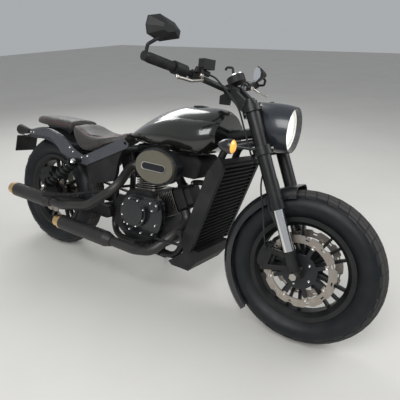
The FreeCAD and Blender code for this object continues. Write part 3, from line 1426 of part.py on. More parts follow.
def bridge_points(height, half):
    """Ends of a cross tube behind the radiator, at a height along its slope."""
    back = -s.slat_depth - s.radiator_thick - s.seat_gap - s.bridge_radius
    return [radiator_place().multVec(point(back, half * side, height)) for side in (-1, 1)]


def radiator_place():
    """Placement of the radiator: at its foot, leaned forward."""
    return FreeCAD.Placement(point(s.radiator_x, 0, s.radiator_z),
                             FreeCAD.Rotation(V(0, 1, 0), float(s.radiator_tilt)))


def stand_pivot():
    """Side stand's pivot, foot and axis on the ground frame; the axis points outward."""
    rail = LEAN.multVec(point(s.stand_pivot_x + 30, cradle_out(), s.case_floor))
    foot = point(s.stand_foot_x, s.stand_foot_y, s.stand_foot_thick / 2)
    folded = V(-1, 0.12, 0.12)
    axis = V(0, 1, 0)
    for step in range(6):
        pivot = rail + axis * float(s.stand_pivot_out)
        axis = (foot - pivot).cross(folded).normalize()
        if axis.y < 0:
            axis = axis * -1
    return rail, rail + axis * float(s.stand_pivot_out), foot, axis


def frame():
    """Head tube, backbone, cradle, seat rails, cross tubes and studs."""
    head_low = FORK.multVec(point(0, 0, s.clamp_lower + s.clamp_lower_thick + s.pin_play))
    head_top = FORK.multVec(point(0, 0, s.clamp_upper - s.pin_play))
    head = rod("head_tube", head_low, head_top, s.head_radius)
    bores = [rod("head_bore", head_low - steer_direction, head_top + steer_direction,
                 s.stem_radius + s.pin_play)]
    middle = (head_low + head_top) * 0.5
    back = point(s.spine_back_x, 0, s.spine_back_z)
    pieces = [head, rod("spine", back, middle, s.spine_radius)]
    knee_z = crest() - s.rail_knee_drop
    tail_z = crest() - s.rail_tail_drop
    for side in (-1, 1):
        tag = side + 1
        out = rail_out() * side
        pieces.append(cradle_tube("cradle_%d" % tag, side, s.tube_radius))
        pieces.append(tube("seat_rail_%d" % tag, [
            back, point(s.rail_knee_x, out, knee_z), point(s.shock_top_x, out, tail_z),
            point(s.shock_top_x - 16, out, tail_z - 6)], [60, 30], s.tube_radius))
        stud_z = crest() - s.shock_top_drop
        pieces.append(rod("stud_%d" % tag, point(s.shock_top_x, out, stud_z),
                          point(s.shock_top_x, (s.shock_y + s.shock_eye) * side, stud_z),
                          s.shock_stud))
    pieces.append(rod("pivot_tube", point(s.pivot_x, s.pin_play - s.arm_inner, s.pivot_z),
                      point(s.pivot_x, s.chain_y - s.chain_width, s.pivot_z), s.tube_radius))
    bores.append(rod("pivot_bore", point(s.pivot_x, -s.arm_inner, s.pivot_z),
                     point(s.pivot_x, s.arm_inner, s.pivot_z), s.shock_stud + s.pin_play))
    rod_z = crest() - s.saddle_rod_drop
    pieces.append(rod("saddle_rod", point(s.saddle_rod_x, -rail_out(), rod_z),
                      point(s.saddle_rod_x, rail_out(), rod_z), s.bridge_radius))
    for height, half in ((60, 110), (360, 73)):
        left, right = bridge_points(height, half)
        pieces.append(rod("bridge_%d" % height, left, right, s.bridge_radius))
    rail, pivot, foot, axis = stand_pivot()
    up = LEAN.inverse()
    boss = pivot - axis * float(s.stand_radius + 1 + s.seat_gap)
    pieces.append(rod("stand_boss", up.multVec(rail), up.multVec(boss), s.stand_eye))
    keep(cut("frame", joined("frame_tubes", pieces), joined("frame_bores", bores)), "chassis")


def swing_arm():
    """Two blades, a cross tube, the pivot pin and the lugs of the shocks."""
    arm = Piece("swing_arm")
    low_z = s.rear_tyre_radius + s.shock_low_rise
    for start in (s.arm_inner, -s.arm_inner - s.arm_thick):
        blade = arm.outline("XZ", [
            (s.pivot_x + s.arm_root, s.pivot_z + s.arm_root * 0.3, s.arm_root),
            (s.pivot_x, s.pivot_z + s.arm_root),
            (0, s.rear_tyre_radius + s.arm_tip, s.arm_tip * 1.2),
            (0, s.rear_tyre_radius - s.arm_tip),
            (s.pivot_x, s.pivot_z - s.arm_root, s.arm_root),
            (s.pivot_x + s.arm_root, s.pivot_z - s.arm_root * 0.3)], start)
        arm.pad(blade, s.arm_thick)
        arm.pad(arm.outline("XZ", [
            (s.shock_low_x - 40, s.rear_tyre_radius + s.arm_tip - 4),
            (s.shock_low_x + 50, s.rear_tyre_radius + s.arm_tip - 4),
            (s.shock_low_x + s.shock_eye, low_z, s.shock_eye),
            (s.shock_low_x, low_z + s.shock_eye, s.shock_eye),
            (s.shock_low_x - s.shock_eye, low_z)], start), s.arm_thick)
    arm.pad(arm.circles("XZ", [(s.shock_low_x, low_z, s.shock_stud)]),
            (s.shock_y + s.shock_eye) * 2, centred=True)
    inner = (s.arm_inner + s.pin_play) * 2
    arm.pocket(arm.circles("XZ", [(s.shock_low_x, low_z, s.shock_stud + 1)]), inner, centred=True)
    arm.pad(arm.circles("XZ", [(s.pivot_x, s.pivot_z, s.shock_stud)]), inner, centred=True)
    arm.pad(arm.circles("XZ", [(s.pivot_x - 82, s.pivot_z, 20)]), inner, centred=True)
    arm.pocket(arm.circles("XZ", [(0, s.rear_tyre_radius, s.axle_radius + s.seat_gap)]),
               s.arm_inner * 4, centred=True)
    keep(arm, "chassis")
    inner_face = s.arm_inner - s.seat_gap
    axle("rear_axle", "chassis", s.arm_inner + s.arm_thick, s.rear_hub_half,
         (inner_face - s.bracket_thick - s.seat_gap, inner_face),
         FreeCAD.Placement(point(0, 0, s.rear_tyre_radius), NO_TURN))


def rear_caliper():
    """Rear caliper on a bracket held between the axle and the right blade."""
    piece = caliper("rear_caliper", s.rear_disc_radius, s.rear_hub_half, (-1,),
                    s.arm_inner - s.seat_gap)
    face = s.arm_inner - s.seat_gap - s.bracket_thick
    low = s.rear_disc_radius - s.piston_radius - s.caliper_slot
    piece.pad(piece.outline("XZ", [
        (-22, -6), (-22, -22, 30), (22, -22), (22, -6), (s.caliper_lug + 8, low - 10),
        (s.caliper_lug + 8, low + 8, 9), (s.caliper_lug - 8, low + 8), (8 - s.caliper_lug, low + 8, 9),
        (-s.caliper_lug - 8, low + 8), (-s.caliper_lug - 8, low - 10)], face), s.bracket_thick)
    piece.pocket(piece.circles("XZ", [(0, 0, s.axle_radius + s.seat_gap)]), s.arm_inner * 4,
                 centred=True)
    keep(piece, "rear_wheel", FreeCAD.Placement(
        V(0, 0, 0), FreeCAD.Rotation(V(0, 1, 0), -float(s.rear_caliper_angle))))


def shock(label, side):
    """Damper with its spring between two seats, drawn along its own axis."""
    low = point(s.shock_low_x, s.shock_y * side, s.rear_tyre_radius + s.shock_low_rise)
    top = point(s.shock_top_x, s.shock_y * side, crest() - s.shock_top_drop)
    length = (top - low).Length
    damper = Piece(label + "_damper")
    seat_low = s.shock_eye * 1.6
    seat_top = sized(length) - s.shock_eye * 1.6
    damper.revolve(damper.outline("XZ", [
        (0, 0), (s.shock_body * 0.6, 0), (s.shock_body * 0.6, seat_low), (s.collar_radius, seat_low),
        (s.collar_radius, seat_low + 5), (s.shock_body, seat_low + 5), (s.shock_body, seat_top - 5),
        (s.collar_radius, seat_top - 5), (s.collar_radius, seat_top),
        (s.shock_body * 0.7, seat_top), (s.shock_body * 0.7, length), (0, length)]), "V_Axis")
    for z in (0, length):
        damper.pad(damper.circles("XZ", [(0, z, s.shock_eye)]), s.shock_body * 1.6, centred=True)
    damper.pocket(damper.circles("XZ", [(0, 0, s.shock_stud + s.seat_gap),
                                        (0, length, s.shock_stud + s.seat_gap)]),
                  s.shock_body * 3, centred=True)
    coil = made("Helix", label + "_coil", Radius=s.spring_radius,
                Height=seat_top - seat_low - s.spring_wire * 2,
                Pitch=(seat_top - seat_low - s.spring_wire * 2) / s.spring_turns)
    coil.Placement = FreeCAD.Placement(point(0, 0, seat_low + s.spring_wire), NO_TURN)
    section = made("Circle", label + "_wire", Radius=s.spring_wire)
    section.Placement = FreeCAD.Placement(point(s.spring_radius, 0, seat_low + s.spring_wire),
                                          FreeCAD.Rotation(V(1, 0, 0), 90))
    spring = doc.addObject("Part::Sweep", label + "_spring")
    spring.Sections = [section]
    spring.Spine = (coil, [])
    spring.Solid = True
    spring.Frenet = True
    keep(joined(label, [damper.body, spring]), "chassis", aim(low, top))


def chain():
    """Drive chain as a closed band over both sprockets."""
    piece = Piece("drive_chain")
    run = math.hypot(float(s.drive_x), float(s.drive_z - s.rear_tyre_radius))
    slope = math.atan2(float(s.drive_z - s.rear_tyre_radius), float(s.drive_x))
    for grow, act in ((s.chain_height + s.pin_play, piece.pad), (s.pin_play, piece.pocket)):
        big = s.sprocket_radius + grow
        small = s.drive_radius + grow
        half = math.degrees(math.acos(float(big - small) / run))
        up = sized(math.degrees(slope)) + half
        low = sized(math.degrees(slope)) - half
        corners = [
            (big * cosine(up), s.rear_tyre_radius + big * sine(up), big),
            (-big, s.rear_tyre_radius, big),
            (big * cosine(low), s.rear_tyre_radius + big * sine(low)),
            (s.drive_x + small * cosine(low), s.drive_z + small * sine(low), small),
            (s.drive_x + small, s.drive_z, small),
            (s.drive_x + small * cosine(up), s.drive_z + small * sine(up))]
        sketch = piece.outline("XZ", corners, -s.chain_y)
        act(sketch, s.chain_width, centred=True)
    keep(piece, "chassis")


# Radiator and belly pan


def radiator():
    """Core with slats, side covers and belly pan."""
    local = radiator_place()
    core = Piece("radiator")
    front = -s.slat_depth
    core.pad(core.outline("XY", [(front - s.radiator_thick, -s.radiator_half), (front, -s.radiator_half),
                                 (front, s.radiator_half), (front - s.radiator_thick, s.radiator_half)]),
             s.radiator_height)
    slat = core.outline("XY", [(front, -s.radiator_half), (0, -s.radiator_half), (0, s.radiator_half),
                               (front, s.radiator_half)], s.slat_thick)
    slat_pad = core.pad(slat, s.slat_thick)
    core.row([slat_pad], "Z", s.radiator_height - s.slat_thick * 4, s.slat_count)
    keep(core, "chassis", local)
    guard = Piece("radiator_covers")
    for start in (s.radiator_half + s.seat_gap, -s.radiator_half - s.seat_gap - s.guard_thick):
        guard.pad(guard.outline("XZ", [
            (0, 0), (2, s.radiator_height * 0.9, 60), (-s.guard_depth * 0.6, s.radiator_height + 18),
            (-s.guard_depth, s.radiator_height * 0.86), (-s.guard_depth, 60),
            (-s.guard_depth * 0.8, 0)], start), s.guard_thick)
    keep(guard, "chassis", local)
    belly = Piece("belly_body")
    back = s.case_front + s.belly_gap
    belly.pad(belly.outline("XZ", [
        (s.belly_front, s.radiator_z - s.seat_gap * 10), (s.belly_front - 8, s.belly_floor + 50),
        (s.belly_front - 44, s.belly_floor), (back + 20, s.belly_floor),
        (back, s.belly_floor + 14), (s.radiator_x - s.guard_depth, s.radiator_z - 30),
        (s.radiator_x - s.guard_depth, s.radiator_z - s.seat_gap * 10)]),
        s.belly_half * 2, centred=True)
    rooms = [cradle_tube("belly_room_%d" % (side + 1), side, s.tube_radius + s.seat_gap)
             for side in (-1, 1)]
    keep(cut("belly_pan", belly.body, joined("belly_rooms", rooms)), "chassis")


# Tank, seats and fenders

# Tank sections: station, foot half width, side half width, side height, crease half width,
# crease height, top height, floor height
TANK = (
    (560, 26, 44, 722, 30, 736, 748, 712),
    (650, 66, 96, 742, 72, 776, 804, 708),
    (770, 100, 142, 760, 108, 824, 868, 706),
    (890, 116, 162, 772, 126, 850, 902, 704),
    (1000, 116, 164, 782, 124, 852, 908, 706),
    (1072, 98, 140, 796, 104, 852, 900, 736),
    (1090, 88, 124, 802, 92, 848, 888, 752),
)

# Saddle sections, same columns, heights from the fender's crest
SADDLE = (
    (196, 78, 96, 21, 70, 41, 47, 5),
    (240, 108, 122, -5, 92, 33, 35, -43),
    (320, 122, 136, -35, 104, 9, 3, -77),
    (400, 120, 136, -33, 98, 5, -5, -61),
    (480, 96, 112, -9, 74, 17, 13, -27),
    (548, 44, 60, 29, 36, 47, 49, 11),
)

# Pillion pad sections, same columns, heights from the fender's crest
PILLION = (
    (-160, 50, 62, 29, 48, 43, 47, 9),
    (-100, 78, 90, 29, 72, 49, 55, 9),
    (60, 92, 104, 29, 84, 51, 59, 9),
    (180, 86, 98, 29, 78, 49, 57, 9),
)


def body_section(row, base):
    """Closed section across the bike: flat floor, round sides, round top between two creases."""
    x, foot, side, side_z, crease, crease_z, top_z, floor_z = row
    side_z += base
    crease_z += base
    top_z += base
    floor_z += base
    return Part.Wire([
        line(V(x, foot, floor_z), V(x, -foot, floor_z)),
        arc3(V(x, -foot, floor_z), V(x, -side, side_z), V(x, -crease, crease_z)),
        arc3(V(x, -crease, crease_z), V(x, 0, top_z), V(x, crease, crease_z)),
        arc3(V(x, crease, crease_z), V(x, side, side_z), V(x, foot, floor_z))])


def tank_top():
    """Height of the tank's top at the filler cap."""
    before, after = [row for row in TANK if abs(row[0] - float(s.cap_x)) < 75]
    share = (float(s.cap_x) - before[0]) / (after[0] - before[0])
    return before[6] + (after[6] - before[6]) * share


def bodywork():
    """Tank with its filler cap, saddle and pillion pad."""
    shell = computed("tank_shell", loft([body_section(row, 0) for row in TANK]))
    head_low = FORK.multVec(point(0, 0, s.clamp_lower + s.clamp_lower_thick))
    head_top = FORK.multVec(point(0, 0, s.clamp_upper))
    tunnel = rod("tank_tunnel", point(s.spine_back_x, 0, s.spine_back_z), (head_low + head_top) * 0.5,
                 s.spine_radius + s.seat_gap)
    floor = V(float(s.cap_x), 0, tank_top() - float(s.cap_recess))
    recess = rod("cap_room", floor, floor + V(0, 0, 60), s.cap_radius + 1.3)
    keep(cut("fuel_tank", shell, joined("tank_rooms", [tunnel, recess])), "chassis")
    lid = Piece("tank_cap")
    height = s.cap_recess + 3
    lid.revolve(lid.outline("XZ", [
        (0, s.seat_gap), (s.cap_radius, s.seat_gap), (s.cap_radius, height - 1, 6),
        (s.cap_radius - 4, height + 2), (0, height + 4)]), "V_Axis")
    keep(lid, "chassis", FreeCAD.Placement(floor, NO_TURN))
    base = float(crest())
    groove_z = crest() - s.saddle_rod_drop
    groove = rod("saddle_groove", point(s.saddle_rod_x, -200, groove_z),
                 point(s.saddle_rod_x, 200, groove_z), s.bridge_radius + s.seat_gap)
    saddle = computed("saddle_body", loft([body_section(row, base) for row in SADDLE]))
    keep(cut("rider_seat", saddle, groove), "chassis")
    keep(computed("pillion_seat", loft([body_section(row, base) for row in PILLION])), "chassis")


def fender_outline(piece, radius, half, skirt):
    """Section of a fender: top, rounded edges and skirts."""
    wall = s.fender_wall
    outer = radius + wall
    corner = s.fender_corner
    return piece.outline("YZ", [
        (-half, radius - skirt), (-half, outer - corner, -corner), (-half + corner, outer),
        (half - corner, outer, -corner), (half, outer - corner), (half, radius - skirt),
        (half - wall, radius - skirt), (half - wall, outer - corner, corner - wall),
        (half - corner, radius), (-half + corner, radius, corner - wall),
        (-half + wall, outer - corner), (-half + wall, radius - skirt)])


def front_fender():
    """Front fender with its stays down to the fork feet."""
    sheet_part = Piece("front_fender_sheet")
    half = s.front_fender_half
    section = fender_outline(sheet_part, s.front_tyre_radius + s.front_fender_gap, half,
                             s.front_fender_skirt)
    sheet_part.revolve(section, "H_Axis", s.front_fender_sweep, backwards=True)
    sheet_part.body.Placement = FreeCAD.Placement(
        V(0, 0, 0), FreeCAD.Rotation(V(0, 1, 0), float(s.front_fender_front)))
    stays = Piece("front_fender_stays")
    face = s.fork_leg_y - s.foot_neck - s.seat_gap
    for start in (-face, face - s.stay_thick):
        stays.pad(stays.outline("XZ", [
            (-50, 320), (-26, 320), (-24, 256), (12, 110), (12, 62), (-14, 62), (-14, 100),
            (-46, 250)], start), s.stay_thick)
    for start in (-face, half - 2):
        stays.pad(stays.circles("XZ", [(-38, 308, 8)], start), face - half + 2)
    keep(joined("front_fender", [sheet_part.body, stays.body]), "front_wheel")


def signal_point(side):
    """Front of a rear indicator, behind the end of its side plate."""
    return point(-115 - s.seat_gap, (s.plate_y + s.plate_thick / 2) * side, crest() - 36)


def rear_fender():
    """Rear fender: arc over the wheel, straight tail and the bracket of the pillion pad."""
    radius = s.rear_tyre_radius + s.rear_fender_gap
    half = s.plate_y - s.seat_gap
    arc = Piece("rear_fender_arc")
    arc.revolve(fender_outline(arc, radius, half, s.rear_fender_skirt), "H_Axis",
                s.rear_fender_front + s.rear_fender_back, backwards=True)
    arc.body.Placement = FreeCAD.Placement(
        V(0, 0, 0), FreeCAD.Rotation(V(0, 1, 0), float(s.rear_fender_front)))
    tail = Piece("rear_fender_end")
    tail.pad(fender_outline(tail, radius, half, s.rear_fender_skirt), s.rear_fender_tail,
             backwards=True)
    tail.body.Placement = FreeCAD.Placement(
        V(0, 0, 0), FreeCAD.Rotation(V(0, 1, 0), -float(s.rear_fender_back)))
    below = made("Box", "rear_skirt_room", Length=600, Width=400, Height=600)
    below.Placement = FreeCAD.Placement(point(-600, -200, s.rear_skirt_rise - 600), NO_TURN)
    rooms = [below]
    for side in (-1, 1):
        start = signal_point(side) - point(0, 0, s.rear_tyre_radius)
        rooms.append(rod("rear_signal_room_%d" % (side + 1), start, start + V(-160, 0, 0), 30))
    bracket = Piece("pillion_bracket")
    sheet_r = float(radius + s.fender_wall / 2)
    ends = [(x, math.sqrt(sheet_r * sheet_r - x * x)) for x in (-60, 120)]
    top = crest() - s.rear_tyre_radius + PILLION[1][7] - s.seat_gap
    bracket.pad(bracket.outline("XZ", [
        (ends[1][0], ends[1][1], sheet_r), (ends[0][0], ends[0][1]), (-80, top), (150, top)]),
        110, centred=True)
    keep(joined("rear_fender", [cut("rear_fender_sheet", joined("rear_fender_parts", [
        arc.body, tail.body]), joined("rear_fender_rooms", rooms)), bracket.body]), "rear_wheel")


def side_plates():
    """Side plates over the rear fender, and the panels below the seat rails."""
    top = crest()
    plates = Piece("side_plates")
    for start in (s.plate_y, -s.plate_y - s.plate_thick):
        plates.pad(plates.outline("XZ", [
            (-115, top - 23), (80, top - 7), (200, top - 45, 400), (340, top - 101), (600, top + 27),
            (636, top + 5, -16), (628, top - 19), (360, top - 147, 120), (300, top - 150),
            (160, top - 113, 300), (60, top - 45), (-115, top - 50)], start), s.plate_thick)
    plates.pocket(plates.circles("XZ", [(618, top + 4, s.plate_hole),
                                        (s.shock_top_x, top - s.shock_top_drop,
                                         s.shock_stud + s.seat_gap)]), s.plate_y * 3, centred=True)
    keep(plates, "chassis")
    panels = Piece("side_panels")
    thick = s.plate_y - s.seat_gap - s.panel_inner
    for start in (s.panel_inner, -s.panel_inner - thick):
        panels.pad(panels.outline("XZ", [
            (345, 571), (470, 620), (494, 624), (506, 642), (606, 668, 200), (568, 546), (552, 502),
            (388, 456)], start), thick)
    keep(panels, "chassis")


def rear_signals():
    """Rear indicators behind the side plates, with their lenses."""
    bodies = []
    lenses = []
    for side in (-1, 1):
        tag = side + 1
        place = FreeCAD.Placement(signal_point(side), FreeCAD.Rotation(V(0, 0, 1), 180))
        cone = Piece("rear_signal_shell_%d" % tag)
        cone.revolve(cone.outline("XZ", [(0, 0), (0, 13), (84, 29), (84, 0)]), "H_Axis")
        cone.body.Placement = place
        bodies.append(cone.body)
        lens = dome("rear_signal_lens_%d" % tag, sized(28), 84 + s.seat_gap)
        lens.Placement = place
        lenses.append(lens)
    keep(joined("rear_indicators", bodies), "chassis")
    keep(joined("rear_indicator_lenses", lenses), "chassis")


def plate_bracket():
    """Bracket under the rear fender's tail with a bare plate holder, and the tail lamp on it."""
    bracket = Piece("plate_bracket")
    bracket.pad(bracket.outline("XZ", [
        (-171, 655.1), (-228, 636.6), (-349, 597.5), (-349, 589), (-228, 628.6), (-175, 645)]),
        60, centred=True)
    bracket.pad(bracket.outline("XZ", [(-346, 603), (-352, 600), (-372, 505), (-367, 504)]),
                140, centred=True)
    for start in (12, -18):
        bracket.pad(bracket.outline("XZ", [(-414, 520), (-367, 520), (-367, 528), (-414, 528)],
                                    start), 6)
    bracket.pad(bracket.outline("XZ", [(-414, 516), (-408, 516), (-408, 532), (-414, 532)]),
                36, centred=True)
    keep(bracket, "chassis")
    lamp = Piece("tail_lamp")
    lamp.pad(lamp.outline("XZ", [(-352.8, 598), (-372, 590, 60), (-376, 560), (-361.7, 556)]),
             76, centred=True)
    keep(lamp, "chassis")


# Exhausts


def muffler(label, front_x, back_x, height):
    """Muffler drum with its tip bored out, drawn along the bike."""
    piece = Piece(label)
    end = back_x - s.tip_length
    piece.revolve(piece.outline("XZ", [
        (end, s.tip_bore), (end, s.tip_radius), (back_x, s.tip_radius), (back_x, s.muffler_radius - 4),
        (back_x + 8, s.muffler_radius), (front_x - 40, s.muffler_radius), (front_x, s.pipe_radius + 3),
        (front_x, 0), (end + s.tip_bore_depth, 0), (end + s.tip_bore_depth, s.tip_bore)]), "H_Axis")
    piece.body.Placement = FreeCAD.Placement(point(0, -s.muffler_y, height), NO_TURN)
    return piece.body


def exhausts():
    """Upper and lower exhaust, each from the port of its cylinder head."""
    y = -s.muffler_y
    port, normal = head_face(-s.rear_tilt, -1, -27)
    upper = tube("upper_pipe", [
        port, port + normal * float(s.port_length), V(622, -185, 495), point(470, y, 372),
        point(s.upper_front_x + 90, y, s.upper_z), point(s.upper_front_x - 2, y, s.upper_z)],
        [38, 70, 150, 150], s.pipe_radius)
    keep(joined("exhaust_upper", [upper, muffler("upper_muffler", s.upper_front_x, s.upper_back_x,
                                                 s.upper_z)]), "chassis")
    port, normal = head_face(s.front_tilt, 1, -40)
    lower = tube("lower_pipe", [
        port, port + normal * float(s.port_length), V(940, -150, 325), V(880, -210, 255),
        point(s.lower_front_x + 140, y, s.lower_z), point(s.lower_front_x - 2, y, s.lower_z)],
        [42, 80, 80, 150], s.pipe_radius)
    keep(joined("exhaust_lower", [lower, muffler("lower_muffler", s.lower_front_x, s.lower_back_x,
                                                 s.lower_z)]), "chassis")


# Foot controls and side stand


def peg(label, start, end, radius):
    """Ribbed round foot peg between two points."""
    pieces = [rod(label + "_core", start, end, radius * 0.8)]
    count = int(float(s.peg_ribs))
    for index in range(count):
        low = start + (end - start) * ((index + 0.25) / count)
        high = start + (end - start) * ((index + 0.8) / count)
        pieces.append(rod("%s_rib_%d" % (label, index), low, high, radius))
    return pieces


def foot_controls():
    """Bracket, peg and pedal on each lower rail."""
    sides = []
    face = cradle_out() + s.tube_radius + s.seat_gap
    for side in (-1, 1):
        tag = side + 1
        plate = Piece("control_plate_%d" % tag)
        plate.pad(plate.outline("XZ", [(812, 212), (872, 212), (864, 304), (826, 304)],
                                -face * side), 12, backwards=side > 0)
        pieces = [plate.body]
        pieces += peg("peg_%d" % tag, V(842, 136 * side, 278), V(838, 290 * side, 302),
                      s.peg_radius)
        pieces.append(tube("pedal_%d" % tag, [
            V(848, 134 * side, 296), V(890, 205 * side, 318), V(1046, 216 * side, 332),
            V(1032, 220 * side, 386)], [30, 24], 6))
        pieces.append(rod("pedal_pad_%d" % tag, V(1034, 219 * side, 380), V(1028, 221 * side, 402),
                          12))
        sides.append(joined("controls_%d" % tag, pieces))
    keep(joined("foot_controls", sides), "chassis")


def passenger_pegs():
    """Folding pegs on hangers from the frame's uprights."""
    sides = []
    reach = s.upright_y + s.tube_radius + s.seat_gap
    for side in (-1, 1):
        tag = side + 1
        hanger = tube("hanger_%d" % tag, [
            point(s.upright_x, reach * side, 440), V(500, 140 * side, 440), V(300, 158 * side, 384),
            V(268, 172 * side, 374)], [24, 20], s.hanger_radius)
        pieces = [hanger] + peg("rear_peg_%d" % tag, V(276, 166 * side, 374),
                                V(196, 284 * side, 376), s.peg_radius - 1.5)
        sides.append(joined("passenger_peg_%d" % tag, pieces))
    keep(joined("passenger_pegs", sides), "chassis")


def side_stand():
    """Stand leg with its foot flat on the ground, drawn in the leaned frame."""
    rail, pivot, foot, axis = stand_pivot()
    knee = pivot * 0.35 + foot * 0.65 + (foot - pivot).cross(axis).normalize() * 12
    leg = tube("stand_leg", [pivot, knee, foot], [80], s.stand_radius)
    pad = made("Box", "stand_pad", Length=s.stand_foot_half * 2.4, Width=s.stand_foot_half * 2,
               Height=s.stand_foot_thick)
    pad.Placement = FreeCAD.Placement(
        foot - point(s.stand_foot_half * 1.2, s.stand_foot_half, s.stand_foot_thick / 2), NO_TURN)
    reach = axis * float(s.stand_radius + 1)
    eye = rod("stand_eye", pivot - reach, pivot + reach, s.stand_eye)
    keep(joined("side_stand", [leg, pad, eye]), "ground")
    print("stand pivot", tuple(pivot), "axis", tuple(axis))


def build():
    """Make every sub-part, place it and write it out."""
    wheels()
    fork()
    handlebar()
    bar_controls()
    levers()
    gauge()
    mirrors()
    headlight()
    front_signals()
    brake_hoses()
    engine()
    frame()
    swing_arm()
    rear_caliper()
    shock("shock_left", 1)
    shock("shock_right", -1)
    chain()
    radiator()
    bodywork()
    front_fender()
    rear_fender()
    side_plates()
    rear_signals()
    plate_bracket()
    exhausts()
    foot_controls()
    passenger_pegs()
    side_stand()
    for obj, group, local in nodes:
        obj.Placement = GROUPS[group] * local
    doc.recompute()
    faults = [o.Label for o in doc.Objects if "Invalid" in o.State or "Error" in o.State]
    for obj, group, local in nodes:
        if obj.Shape.isNull() or not obj.Shape.isValid():
            faults.append(obj.Label)
    if faults:
        raise SystemExit("faulty objects: " + ", ".join(faults))
    box = FreeCAD.BoundBox()
    for obj, group, local in nodes:
        box.add(obj.Shape.optimalBoundingBox(False, False))
    centre = FreeCAD.Placement(V(-box.Center.x, -box.Center.y, 0), NO_TURN)
    for obj, group, local in nodes:
        obj.Placement = centre * GROUPS[group] * local
        obj.Shape.exportStep("parts/%s.step" % obj.Label)
    print("box", box, "shift", tuple(centre.Base))
    print("steering foot", tuple((centre * LEAN).multVec(steer_foot)), "axis",
          tuple(LEAN.Rotation.multVec(steer_direction)))
    for name in ("front_wheel", "rear_wheel"):
        placed = centre * GROUPS[name]
        print(name, tuple(placed.Base), "axis", tuple(placed.Rotation.multVec(V(0, 1, 0))))
    print(len(nodes), "sub-parts")


build()
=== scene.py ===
"""Cruiser motorcycle on its side stand: finishes, soft seats, tread and small fittings round the frame."""
import json
import math

import bmesh
import bpy
from mathutils import Matrix, Vector
from mathutils.geometry import interpolate_bezier
from mathutils.kdtree import KDTree


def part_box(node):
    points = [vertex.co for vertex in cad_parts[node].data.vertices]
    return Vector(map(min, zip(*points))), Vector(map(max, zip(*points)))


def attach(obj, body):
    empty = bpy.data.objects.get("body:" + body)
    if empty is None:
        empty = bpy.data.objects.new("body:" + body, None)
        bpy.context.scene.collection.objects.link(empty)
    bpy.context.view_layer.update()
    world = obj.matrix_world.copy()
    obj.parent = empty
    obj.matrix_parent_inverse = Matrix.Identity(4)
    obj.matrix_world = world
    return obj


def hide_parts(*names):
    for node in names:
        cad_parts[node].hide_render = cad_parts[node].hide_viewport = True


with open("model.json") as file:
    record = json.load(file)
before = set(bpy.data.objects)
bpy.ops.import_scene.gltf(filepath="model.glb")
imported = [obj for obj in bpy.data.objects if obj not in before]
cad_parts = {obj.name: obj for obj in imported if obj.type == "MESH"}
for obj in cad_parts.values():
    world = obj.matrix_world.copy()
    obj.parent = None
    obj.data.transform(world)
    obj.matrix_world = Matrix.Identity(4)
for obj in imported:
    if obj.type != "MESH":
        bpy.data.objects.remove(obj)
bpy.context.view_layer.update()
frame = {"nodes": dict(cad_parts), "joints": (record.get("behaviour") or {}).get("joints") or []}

bl_info = {
    "name": "Cruiser motorcycle",
    "version": (1, 0, 0),
    "blender": (4, 5, 0),
    "location": "3D View > Sidebar > Motorcycle",
    "description": "Dresses the cruiser motorcycle's frame with its finishes and soft pieces",
    "category": "Object",
}

# The bike's own frame: X forward, Y to the rider's left, Z up, origin under the rear axle
LEAN = math.radians(13)
RAKE = math.radians(25)
PARKED_TURN = math.radians(2)
REAR_RADIUS = 0.323


def bike_to_scene():
    """Matrix from the upright bike to the parked one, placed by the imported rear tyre."""
    low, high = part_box("rear_tyre")
    turn = Matrix.Rotation(-LEAN, 4, "X")
    centre = (low + high) / 2
    return Matrix.Translation(centre - turn @ Vector((0, 0, REAR_RADIUS))) @ turn


def fork_to_scene():
    """Matrix from the front wheel's frame, Y along its axle and Z up the fork, to the scene."""
    joints = {joint["name"]: joint for joint in frame["joints"]}
    across = Vector(joints["front_wheel_spin"]["axis"]).normalized()
    up = Vector(joints["steering_turn"]["axis"]).normalized()
    up = (up - across * up.dot(across)).normalized()
    turn = Matrix((across.cross(up), across, up)).transposed().to_4x4()
    return Matrix.Translation(Vector(joints["front_wheel_spin"]["pos_m"])) @ turn


def steer_turn():
    """Matrix of the small turn to the left in which the bar is parked."""
    joint = next(joint for joint in frame["joints"] if joint["name"] == "steering_turn")
    pivot = Matrix.Translation(Vector(joint["pos_m"]))
    return pivot @ Matrix.Rotation(PARKED_TURN, 4, Vector(joint["axis"])) @ pivot.inverted()


BIKE = bike_to_scene()
FRONT_WHEEL = fork_to_scene()
REAR_WHEEL = BIKE @ Matrix.Translation((0, 0, REAR_RADIUS))
BAR = steer_turn() @ BIKE


def colour_choice(name, description, default):
    """A colour that a user can change."""
    return bpy.props.FloatVectorProperty(
        name=name, description=description, subtype="COLOR", size=3, min=0, max=1, default=default)


class MotorcycleColours(bpy.types.PropertyGroup):
    """Colours that a user would change."""
    tank: colour_choice("Tank paint", "Colour of the tank's metallic black paint", (0.010, 0.011, 0.009))
    leather: colour_choice("Leather", "Colour of both seats' leather", (0.024, 0.021, 0.019))
    brass: colour_choice("Muffler tips", "Colour of the turned muffler tips", (0.80, 0.54, 0.26))
    floor: colour_choice("Floor", "Colour of the floor", (0.60, 0.59, 0.56))

# Make every piece in order.

class MotorcycleSizes(bpy.types.PropertyGroup):
    """Sizes that a user would change."""
    grain: bpy.props.FloatProperty(
        name="Leather grain", description="Size of one pebble of the leather", subtype="DISTANCE",
        unit="LENGTH", min=0.0002, max=0.01, default=0.0018)


def group(name, inputs, outputs):
    """An empty shader node group with named sockets."""
    tree = bpy.data.node_groups.new(name, "ShaderNodeTree")
    for way, sockets in (("INPUT", inputs), ("OUTPUT", outputs)):
        for label, kind in sockets:
            tree.interface.new_socket(name=label, in_out=way, socket_type="NodeSocket" + kind)
    return tree, tree.nodes.new("NodeGroupInput"), tree.nodes.new("NodeGroupOutput")


